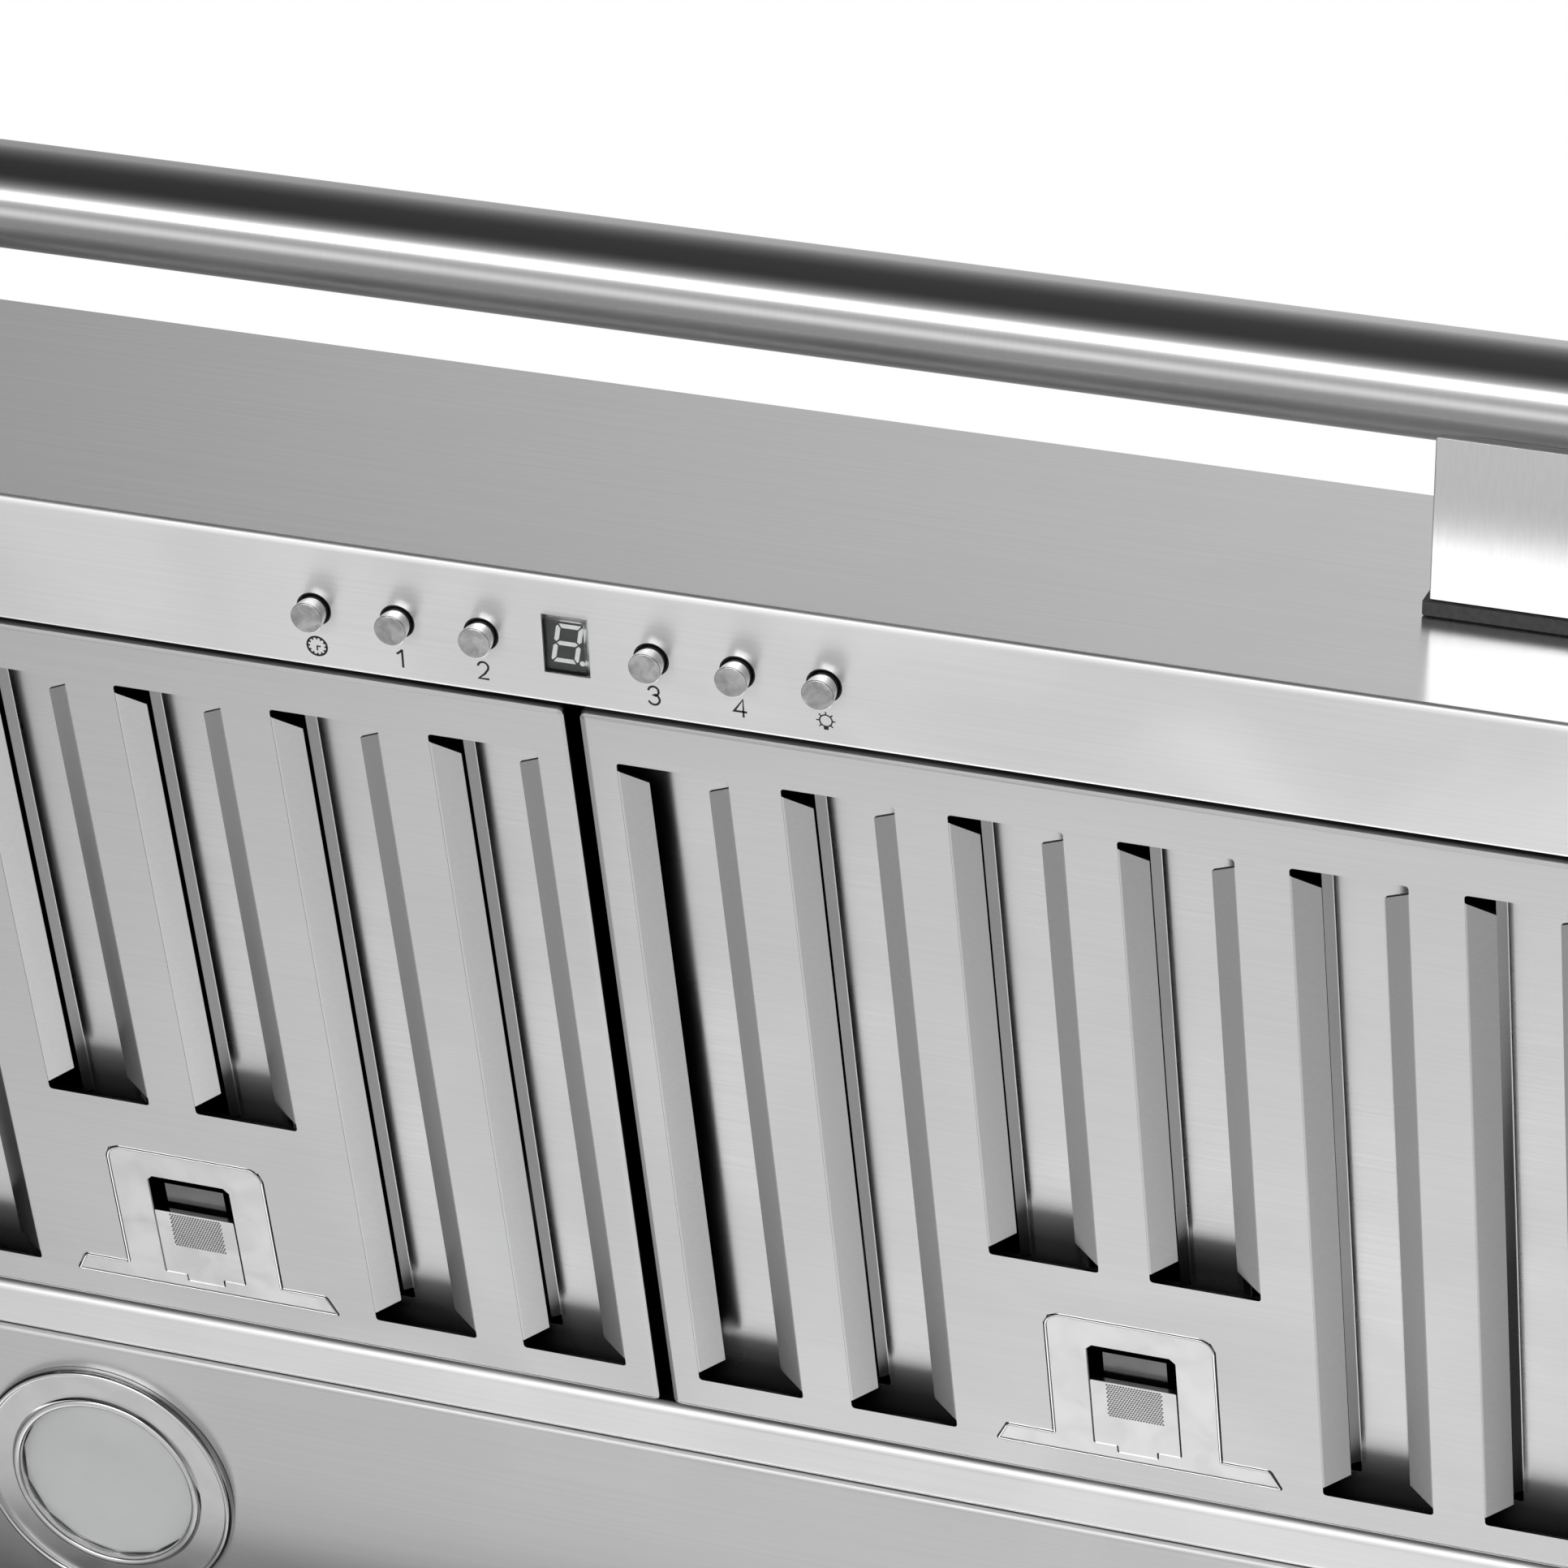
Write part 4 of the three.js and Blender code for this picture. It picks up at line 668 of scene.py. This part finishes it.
def key_carrier():
    """The black plate behind the strip, with a fine collar round each key."""
    low, high = box("button_carrier")
    half_depth, plate_low, plate_high, hole_radius, window_gap = 16, 1.3, 3.3, 6.4, 2.9
    post_radius, post_base, post_top, post_inset_x, post_inset_y = 1.8, 3, 10.4, 3.6, 2.7
    outline = rectangle(low.x, KEY_SETBACK - half_depth, high.x, KEY_SETBACK + half_depth, 2)
    plate = prism(outline, plate_low, plate_high)
    post = [(0, post_base), (post_radius, post_base), (post_radius, post_top), (0, post_top)]
    for u in (-1, -1 / 3, 1 / 3, 1):
        for v in (-1, 1):
            x, y = u * (high.x - post_inset_x), KEY_SETBACK + v * (half_depth - post_inset_y)
            turned(post, 24, plate, Matrix.Translation((x, y, 0)))
    carrier = finished("key_carrier", plate, STRIP, BLACK, stands_for="button_carrier")
    holes = bmesh.new()
    for x in KEYS.values():
        turned([(0, 0), (hole_radius, 0), (hole_radius, 5), (0, 5)], 48, holes, at_key(x))
    prism(window_outline(window_gap), 0, 5, holes)
    holes.transform(STRIP)
    cut_away(carrier, holes)
    collars = bmesh.new()
    profile = [(5.75, 0.3), (5.9, 0.1), (6.15, 0.1), (6.3, 0.3), (6.3, 3.3), (5.75, 3.3)]
    for x in KEYS.values():
        turned(profile, 64, collars, at_key(x))
    finished("key_collars", collars, STRIP, BLACK)


def display():
    """A clear bevelled block over a dark face with one digit and its point."""
    digit_low, digit_high = 3.08, 3.3
    block = bmesh.new()
    levels = [(0.7, -1.4), (0, -0.7), (0, 1.3), (-2.3, 1.3), (-2.3, 2.9)]
    rings = []
    for inset, z in levels:
        rings.append([block.verts.new((*p, z)) for p in window_outline(-inset)])
    for ring, other in zip(rings, rings[1:]):
        add_ring_band(block, ring, other)
    block.faces.new(rings[0])
    block.faces.new(rings[-1])
    finished("display_glass", block, STRIP, WINDOW, stands_for="display_window", edge=0.12)
    dress("display_module", DISPLAY_FACE, edge=0.2)
    digit = bmesh.new()
    upper = [
        [(-4.1, 7.7), (4.1, 7.7), (3.0, 6.1), (-3.0, 6.1)],
        [(4.5, 7.1), (5.0, 6.5), (5.0, 1.3), (4.2, 0.5), (3.35, 1.4), (3.35, 5.7)],
        [(-4.5, 7.1), (-5.0, 6.5), (-5.0, 1.3), (-4.2, 0.5), (-3.35, 1.4), (-3.35, 5.7)],
    ]
    shapes = upper + [[(x, -y) for x, y in shape] for shape in upper]
    shapes.append([(-3.8, 0), (-2.9, 0.82), (2.9, 0.82), (3.8, 0), (2.9, -0.82), (-2.9, -0.82)])
    slant = 0.19
    for shape in shapes:
        ring = [(x + slant * y, -y + WINDOW_MIDDLE + 0.1) for x, y in shape]
        prism(rounded(ring, 0.15, 2), digit_low, digit_high, digit)
    point = [Vector((5.1, WINDOW_MIDDLE + 7.2)) + Vector(p) for p in arc((0, 0), 1.0, 0, 345, 23)]
    prism(point, digit_low, digit_high, digit)
    finished("display_segments", digit, STRIP, SEGMENT)


def stroke(source, line, width, closed=False):
    """A flat printed stroke of even width along a line on the strip. The line's second axis points up."""
    points = [Vector((x, -y)) for x, y in line]
    count = len(points)
    sides = []
    for i, p in enumerate(points):
        before = points[i - 1] if i or closed else p
        after = points[(i + 1) % count] if i < count - 1 or closed else p
        u = (p - before).normalized() if p != before else (after - p).normalized()
        v = (after - p).normalized() if p != after else u
        left = Vector((-u.y - v.y, u.x + v.x)) * (width / 2 / (1 + max(-0.6, u.dot(v))))
        sides.append((p + left, p - left))
    quads = list(zip(sides, sides[1:])) + ([(sides[-1], sides[0])] if closed else [])
    for (a, b), (c, d) in quads:
        prism([a, b, d, c], -0.03, 0.02, source)


def printed_symbols():
    """Numbers, a clock and a lamp, printed next to their keys."""
    two = [(-1.7, 4.9), *arc((0.05, 4.75), 1.8, 170, -30, 14), (0.5, 2.2), (-1.65, 0.28), (1.9, 0.28)]
    three = [(-1.95, 5.2), *arc((0, 5.05), 1.75, 165, -70, 12)]
    three += [(-0.35, 3.55), *arc((0, 1.95), 1.95, 75, -160, 14)]
    glyphs = {
        "speed_1": [[(-1.6, 4.95), (-0.6, 5.6), (0.35, 6.6)], [(0.4, 6.85), (0.4, 0)]],
        "speed_2": [two],
        "speed_3": [three],
        "speed_4": [[(0.95, 0), (0.95, 6.6), (-2.2, 2.05), (2.2, 2.05)]],
    }
    source = bmesh.new()
    # The strip's front edge is at zero, and places further to the rear are below it.
    base, enlarged = -45.396, 1.06
    offsets = {"speed_1": (0.5, -0.2), "speed_2": (-0.2, 0), "speed_3": (0.2, 0.3), "speed_4": (0.5, 0.6)}
    for name, lines in glyphs.items():
        left, rise = KEYS[name] + offsets[name][0], base + offsets[name][1]
        for line in lines:
            stroke(source, [(left + enlarged * x, rise + enlarged * y) for x, y in line], 0.8)
    clock = Vector((KEYS["timer"], -42.146))
    stroke(source, arc(clock, 3.68, 0, 350, 35), 0.75, closed=True)
    for hour in range(12):
        out = Matrix.Rotation(math.radians(30 * hour), 2) @ Vector((1, 0))
        stroke(source, [clock + out * 3.6, clock + out * 2.7], 0.65)
    stroke(source, [clock + Vector((1.35, 0)), clock, clock - Vector((0, 1.75))], 0.55)
    lamp = Vector((KEYS["light"] + 0.1, -41.096))
    stroke(source, arc(lamp, 2.25, 0, 350, 35), 0.5, closed=True)
    for turn in (0, 45, 90, 135, 180, 225, 315):
        out = Matrix.Rotation(math.radians(turn), 2) @ Vector((1, 0))
        stroke(source, [lamp + out * 2.25, lamp + out * 3.45], 0.48)
    stroke(source, [lamp - Vector((0, 2.3)), lamp - Vector((0, 3.55))], 1.7)
    finished("printed_symbols", source, STRIP, INK)


# ------------------------------------------------------------------ filters and latches
def filter_place(side):
    """A filter's frame: the middle of its front edge, y along the filter to the rear, z into the hood."""
    return at(0, FILTER_Y, STRIP_Z, FILTER_TILT) @ Matrix.Translation((side * FILTER_MIDDLE, 0, 0))


def filter_channels():
    """The rear sheet of each filter: a floor behind each slot with its edges folded down beside open gaps."""
    half, level, length, thickness = 181.35, 13.6, 333, 0.8
    slots, slot_pitch, short_slots = 6, 60, (2, 3)
    slot_middles = [slot_pitch * (i - (slots - 1) / 2) for i in range(slots)]
    floor_half, floor_start, floor_end, short_floor_end = 9.75, 12.3, 315.5, 236
    tab_width, tab_end = 20, 38
    fold = [(floor_half - 2, level), (floor_half, level), (floor_half + 3.2, level - 2.25)]
    wing = bent_section(fold, 1, thickness)
    for name, side in LEFT_RIGHT:
        place = filter_place(side)
        sheet = prism(rectangle(-half, 1.3, half, length - 1.3, 1.2), level, level + thickness)
        channels = "filter_channels_" + name
        piece = finished("filter_rear_" + name, sheet, place, CHANNEL, stands_for=channels)
        gaps = bmesh.new()
        for gap in range(1, slots):
            left, right = slot_middles[gap - 1] + floor_half, slot_middles[gap] - floor_half
            left_end, right_end = (short_floor_end if i in short_slots else floor_end for i in (gap - 1, gap))
            tab = left + tab_width
            outline = [(left, tab_end), (tab, tab_end), (tab, floor_start), (right, floor_start)]
            outline.append((right, right_end))
            if right_end > left_end:
                outline += [(right - tab_width, right_end), (right - tab_width, left_end)]
            elif left_end > right_end:
                outline += [(tab, right_end), (tab, left_end)]
            prism(rounded([*outline, (left, left_end)], 1), 12, 16, gaps)
        gaps.transform(place)
        cut_away(piece, gaps)
        wings = bmesh.new()
        for i, middle in enumerate(slot_middles):
            for edge in (-1, 1):
                if (i, edge) in ((0, -1), (slots - 1, 1)):
                    continue  # the sheet's own outer edges are flat
                start = floor_start if edge < 0 else tab_end
                ends = (start + 1, 235 if i in short_slots else 310)
                section = [(middle + edge * p.x, p.y) for p in wing]
                rings = [[wings.verts.new((x, y, z)) for x, z in section] for y in ends]
                wings.faces.new(rings[0][::-1])
                wings.faces.new(rings[1])
                add_ring_band(wings, rings[0], rings[1])
        finished("filter_folds_" + name, wings, place, FOLD_STEEL)


def latch_knurls():
    """Rows of small points where a finger pulls the slider."""
    columns, rows, column_pitch, row_pitch, first_row, proud = 20, 16, 1.05, 1.03, 280.4, 0.42
    for name, side in LEFT_RIGHT:
        source = bmesh.new()
        for row in range(rows):
            for column in range(columns):
                x = (column - (columns - 1) / 2 + (row % 2) / 2) * column_pitch
                y = first_row + row * row_pitch
                corners = ((x - 0.5, y), (x, y - 0.5), (x + 0.5, y), (x, y + 0.5))
                base = [source.verts.new((*corner, 0)) for corner in corners]
                top = source.verts.new((x, y, -proud))
                for i in range(4):
                    source.faces.new([base[i], base[(i + 1) % 4], top])
        place = filter_place(side)
        finished("latch_knurl_" + name, source, place, LATCH_METAL, "latch_" + name, angle=10)


def latch_beads():
    """A polished half round bead along the edge of each latch plate."""
    corners = [(-54.5, 318.5, 1), (-50, 309.5, 2), (-32, 309.5, 0.5), (-32, 249, 6)]
    corners += [(-x, y, r) for x, y, r in reversed(corners)]
    outline = rounded(corners, 0, 6)
    count = len(outline)
    inward = []
    for i, p in enumerate(outline):
        u = (p - outline[i - 1]).normalized()
        v = (outline[(i + 1) % count] - p).normalized()
        inward.append(Vector((-u.y - v.y, u.x + v.x)) / (1 + max(-0.5, u.dot(v))))
    turn = sum(a.x * b.y - a.y * b.x for a, b in zip(outline, outline[1:] + outline[:1]))
    if turn < 0:
        inward = [-n for n in inward]
    section = [(0, 0.25), (0, -0.1), (0.15, -0.38), (0.5, -0.55), (0.85, -0.38), (1.05, -0.05), (1.05, 0.25)]
    for name, side in LEFT_RIGHT:
        source = bmesh.new()
        rings = []
        for inset, z in section:
            rings.append([source.verts.new((*(p + n * inset), z)) for p, n in zip(outline, inward)])
        for ring, other in zip(rings, rings[1:] + rings[:1]):
            add_ring_band(source, ring, other)
        finished("latch_bead_" + name, source, filter_place(side), BEAD_METAL, angle=60)


def latch_springs():
    """The coil above each slider."""
    turns, steps, radius, wire, length, travel = 7, 22, 1.5, 0.35, 21.4, 9
    along = Vector((0, 1, 0))
    around = [2 * math.pi * j / 8 for j in range(8)]
    for name, side in LEFT_RIGHT:
        place = filter_place(side)
        middle = place.inverted() @ (sum(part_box("latch_spring_" + name), Vector()) / 2)
        source = bmesh.new()
        rings = []
        for i in range(turns * steps + 1):
            turn = 2 * math.pi * i / steps
            out = Vector((math.cos(turn), 0, math.sin(turn)))
            centre = middle + out * radius + along * (i / (turns * steps) - 0.5) * (length - 2 * wire)
            section = [centre + (out * math.cos(a) + along * math.sin(a)) * wire for a in around]
            rings.append([source.verts.new(p) for p in section])
        for ring, other in zip(rings, rings[1:]):
            add_ring_band(source, ring, other)
        source.faces.new(rings[0])
        source.faces.new(rings[-1])
        spring = "latch_spring_" + name
        coil = finished("latch_coil_" + name, source, place, SPRING_WIRE, "hood", spring, 80)
        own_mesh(coil)


# ------------------------------------------------------------------ duct
def duct_ring():
    """The spigot for the duct, with a stiffening bead and the stop that the damper flaps rest on."""
    low, high = box("duct_collar")
    base, top = low.z, high.z
    radius, bore, stop_radius, flange_radius, wall, stop_top, stop_low = 75, 74.2, 70.7, 90, 0.8, 15.7, 14.9
    flange = [(flange_radius, base), (flange_radius, base + wall), (radius + 0.7, base + wall)]
    outside = [(radius, base + 1.5), *arc((radius, top - 8), 1.4, -90, 90, 8), (radius, top)]
    stop = [(bore, stop_top), (stop_radius, stop_top), (stop_radius, stop_low), (bore, stop_low)]
    source = turned([*flange, *outside, (bore, top), *stop, (bore, base)], 96)
    place = at((low.x + high.x) / 2, (low.y + high.y) / 2, 0)
    finished("duct_ring", source, place, ZINC, stands_for="duct_collar")


# ------------------------------------------------------------------ ledge and lamp panel
def ledge_and_lamp_panel():
    """The two folded sheets behind the filters, with soft bends along their edges."""
    flange, hole_radius = 12, 39.4
    low, high = box("rear_filter_rail")
    line = [(low.y, high.z), (low.y, low.z, 3.2), (high.y, low.z, 1.8), (high.y, low.z + flange)]
    source = drawn(bent_section(line, 1), low.x, high.x)
    ledge = finished("ledge_sheet", source, HOOD, RAIL_STEEL, stands_for="rear_filter_rail")
    strikes = bmesh.new()
    for _, side in LEFT_RIGHT:
        x = side * FILTER_MIDDLE
        slot = rectangle(x - 13, low.y - 2, x + 13, low.y + 2)
        prism(slot, low.z + 2.9, low.z + 9.6, strikes)
    strikes.transform(HOOD)
    cut_away(ledge, strikes)
    low, high = box("lamp_panel")
    line = [(low.y, low.z + flange), (low.y, low.z, 1.8), (high.y, low.z, 1.8), (high.y, low.z + flange)]
    source = drawn(bent_section(line, 1), low.x, high.x)
    # Painted shade: the lamp panel takes the darker copy of the steel.
    panel = finished("lamp_sheet", source, HOOD, SHADED_PANEL_STEEL, stands_for="lamp_panel")
    holes = bmesh.new()
    for name, _ in LEFT_RIGHT:
        middle = sum(box("lamp_bezel_" + name), Vector()) / 2
        hole = [(0, -4), (hole_radius, -4), (hole_radius, 4), (0, 4)]
        turned(hole, 96, holes, Matrix.Translation((middle.x, middle.y, low.z)))
    holes.transform(HOOD)
    cut_away(panel, holes)


# ------------------------------------------------------------------ lamps
def lamps():
    """A turned trim ring and a shallow lens for each lamp."""
    for name, _ in LEFT_RIGHT:
        low, high = box("lamp_bezel_" + name)
        place = at((low.x + high.x) / 2, (low.y + high.y) / 2, low.z + 3.7)
        inner_bead = [(38.2 + (r - 38.2) * 1.6, z) for r, z in arc((38.2, -2.6), 1.0, 180, 360, 10)]
        outer_bead = arc((52.0, -2.6), 1.3, 190, 350, 12)
        face = [(36.5, -1.2), (36.5, -2.4), *inner_bead, (40.4, -1.9), (50.3, -1.9), *outer_bead]
        neck = [(53.7, -2.0), (53.7, -0.3), (39.1, -0.3), (39.1, 14), (37.6, 14), (37.6, -1.2)]
        trim = turned(face + neck, 128)
        finished("lamp_trim_" + name, trim, place, LAMP_CHROME, stands_for="lamp_bezel_" + name)
        outer_face = [(0, 0.5), (12, 0.4), (22, 0), (30, -0.5), (37.3, -0.9)]
        inner_face = [(37.3, 2.1), (28, 2.8), (14, 3.3), (0, 3.5)]
        lens = turned(outer_face + inner_face, 96)
        cover = "lamp_lens_" + name
        finished("lamp_glass_" + name, lens, place, LENS, stands_for=cover, angle=50)


# ------------------------------------------------------------------ finishes of the CAD nodes
def dress_nodes():
    """Finishes for the CAD nodes that are shown as they are."""
    for name in ("top_panel", "rear_panel"):
        dress(name, BRUSHED)
    dress("control_board", BOARD)
    dress("supply_gland", BLACK, 45, 0.4)
    for side, _ in LEFT_RIGHT:
        for name in ("side_panel_", "side_rail_"):
            dress(name + side, BRUSHED)
        dress("bar_bracket_" + side, BRACKET_STEEL, 30, 0.3)
        dress("bracket_gasket_" + side, GASKET, 30, 0.4)
        dress("bar_bolt_" + side, SPRING_WIRE)
        dress("filter_face_" + side, SATIN, 35)
        # Painted shade: the latch plate and slider darken in the pocket above the filter's face.
        dress("latch_plate_" + side, LATCH_BODY, 25)
        dress("latch_slider_" + side, LATCH_BODY, 25, 0.12)
        dress("lamp_module_" + side, REFLECTOR)
        # Painted shade: lamp housings and blower sides take the darkened copy of the zinc.
        dress("lamp_housing_" + side, SHADED_ZINC)
        dress("blower_side_" + side, SHADED_ZINC)
    # Painted shade: these parts deep inside take the darkened copy of the zinc too.
    for name in ("blower_scroll", "impeller", "impeller_disc", "motor_bracket", "junction_box"):
        dress(name, SHADED_ZINC)
    for name in ("damper_flap_front", "damper_flap_rear"):
        dress(name, ZINC)
    dress("motor", MOTOR_ENAMEL)
    for name in ("impeller_shaft", "damper_pin"):
        dress(name, SPRING_WIRE)


# ------------------------------------------------------------------ studio
def brightness_ramp(tree, value, stops, first, last):
    """Brightness that follows stops of [place, level] along a value from first to last."""
    ramp = node(tree, "ShaderNodeValToRGB")
    tree.links.new(spread(tree, value, 0, 1, first, last), ramp.inputs[0])
    while len(ramp.color_ramp.elements) < len(stops):
        ramp.color_ramp.elements.new(0.5)
    for element, (place, level) in zip(ramp.color_ramp.elements, stops):
        element.position = (place - first) / (last - first)
        element.color = (level, level, level, 1)
    return ramp.outputs["Color"]


def seen_plainly(tree):
    """Rays that show the background as plain white."""
    path = node(tree, "ShaderNodeLightPath")
    return math_node(tree, "MAXIMUM", path.outputs["Is Camera Ray"], path.outputs["Is Transmission Ray"])


def studio_world():
    """White behind the hood. Metal sees a room with pale walls and ceiling and a dark side in front."""
    world = bpy.data.worlds.new("studio")
    bpy.context.scene.world = world
    world.use_nodes = True
    tree = world.node_tree
    output = tree.nodes["World Output"]
    room = tree.nodes["Background"]
    direction = coordinates(tree, "Generated")
    angle = math_node(tree, "ARCTAN2", axis_part(tree, direction, "Z"), axis_part(tree, direction, "Y"))
    turn = math_node(tree, "FRACT", math_node(tree, "MULTIPLY", angle, 0.5 / math.pi))
    rear_wall_and_ceiling = [(0, 1.3), (40, 1.0), (57, 0.59), (112, 0.6), (126, 0.33), (138, 0.2)]
    dark_front = [(150, 0.12), (164, 0.07), (200, 0.06), (210, 0.13)]
    below = [(219, 0.3), (227, 0.6), (335, 1.4)]
    stops = [(degrees / 360, level) for degrees, level in rear_wall_and_ceiling + dark_front + below]
    around = brightness_ramp(tree, turn, stops, 0, 1)
    left = [(-1, 0.3), (-0.75, 0.33), (-0.48, 0.5), (-0.36, 0.78), (-0.22, 1)]
    right = [(0.26, 1), (0.33, 0.5), (0.43, 0.3), (1, 0.33)]
    sideways = brightness_ramp(tree, axis_part(tree, direction, "X"), left + right, -1, 1)
    tree.links.new(vector_node(tree, "MULTIPLY", around, sideways), room.inputs["Color"])
    white = node(tree, "ShaderNodeBackground")
    white.inputs["Color"].default_value = (1, 1, 1, 1)
    both = node(tree, "ShaderNodeMixShader")
    tree.links.new(seen_plainly(tree), both.inputs[0])
    tree.links.new(room.outputs[0], both.inputs[1])
    tree.links.new(white.outputs[0], both.inputs[2])
    tree.links.new(both.outputs[0], output.inputs["Surface"])


def studio_floor():
    """A pale floor that metal sees lit in broad bands across its depth."""
    mesh = bpy.data.meshes.new("floor")
    mesh.from_pydata([(-9, -5, -5), (9, -5, -5), (9, 10, -5), (-9, 10, -5)], [], [(0, 1, 2, 3)])
    floor = new_object("floor", mesh)
    material, tree, shader = new_material("pale_floor")
    shader.inputs["Base Color"].default_value = (0.8, 0.8, 0.8, 1)
    shader.inputs["Roughness"].default_value = 0.9
    place = coordinates(tree, "Object")
    in_front = [(-5, 0.55), (-4.5, 0.85), (-2.0, 0.85), (-1.5, 0.6), (-0.8, 0.5), (-0.3, 0.8)]
    behind = [(0.3, 1.05), (0.8, 0.8), (1.6, 0.38), (4.6, 0.38), (5.9, 1.92), (10, 1.92)]
    across = brightness_ramp(tree, axis_part(tree, place, "Y"), in_front + behind, -5, 10)
    left = [(-9, 0.3), (-5.4, 0.35), (-3.4, 0.95), (-1.4, 1)]
    right = [(1.6, 1), (2.2, 0.65), (2.9, 0.42), (4.2, 0.3), (9, 0.33)]
    sideways = brightness_ramp(tree, axis_part(tree, place, "X"), left + right, -9, 9)
    bands = node(tree, "ShaderNodeEmission")
    tree.links.new(vector_node(tree, "MULTIPLY", across, sideways), bands.inputs["Color"])
    lit = node(tree, "ShaderNodeMixShader")
    tree.links.new(node(tree, "ShaderNodeLightPath").outputs["Is Glossy Ray"], lit.inputs[0])
    tree.links.new(shader.outputs[0], lit.inputs[1])
    tree.links.new(bands.outputs[0], lit.inputs[2])
    white = node(tree, "ShaderNodeEmission")
    both = node(tree, "ShaderNodeMixShader")
    tree.links.new(math_node(tree, "MULTIPLY", seen_plainly(tree), 0.85), both.inputs[0])
    tree.links.new(lit.outputs[0], both.inputs[1])
    tree.links.new(white.outputs[0], both.inputs[2])
    tree.links.new(both.outputs[0], tree.nodes["Material Output"].inputs["Surface"])
    material.cycles.emission_sampling = "NONE"
    mesh.materials.append(material)


def softbox(name, place, target, size_x, size_y, level):
    """A soft rectangular lamp whose face has the given brightness."""
    light = bpy.data.lights.new(name, "AREA")
    light.shape = "RECTANGLE"
    light.size = size_x
    light.size_y = size_y
    light.energy = level * math.pi * size_x * size_y
    lamp = new_object(name, light)
    lamp.location = place
    lamp.rotation_euler = (Vector(target) - Vector(place)).to_track_quat("-Z", "Y").to_euler()
    lamp.visible_camera = False


def studio_camera():
    """A long lens that looks up at the underside from the front right."""
    data = bpy.data.cameras.new("camera")
    camera = new_object("camera", data)
    place = (0.788452, -1.67903, -2.074024)
    right = Vector((0.93972408, 0.0418135, 0.33936748))
    up = Vector((-0.14604172, -0.8483352, 0.50891965))
    turn = Matrix((right, up, right.cross(up))).transposed()
    camera.matrix_world = Matrix.Translation(place) @ turn.to_4x4()
    data.sensor_width = 36
    data.lens = 155.432
    data.clip_start = 0.05
    data.clip_end = 100
    bpy.context.scene.camera = camera


studio_camera()
studio_world()
studio_floor()
softbox("front_softbox", (-0.6, -2.105, -2.99), (-0.3, -0.6, -0.17), 2.7, 0.95, 2.3)

front_panel()
towel_bar()
keys()
key_carrier()
display()
printed_symbols()
filter_channels()
latch_knurls()
latch_beads()
latch_springs()
duct_ring()
ledge_and_lamp_panel()
lamps()
dress_nodes()

bpy.context.scene.view_settings.view_transform = "Standard"
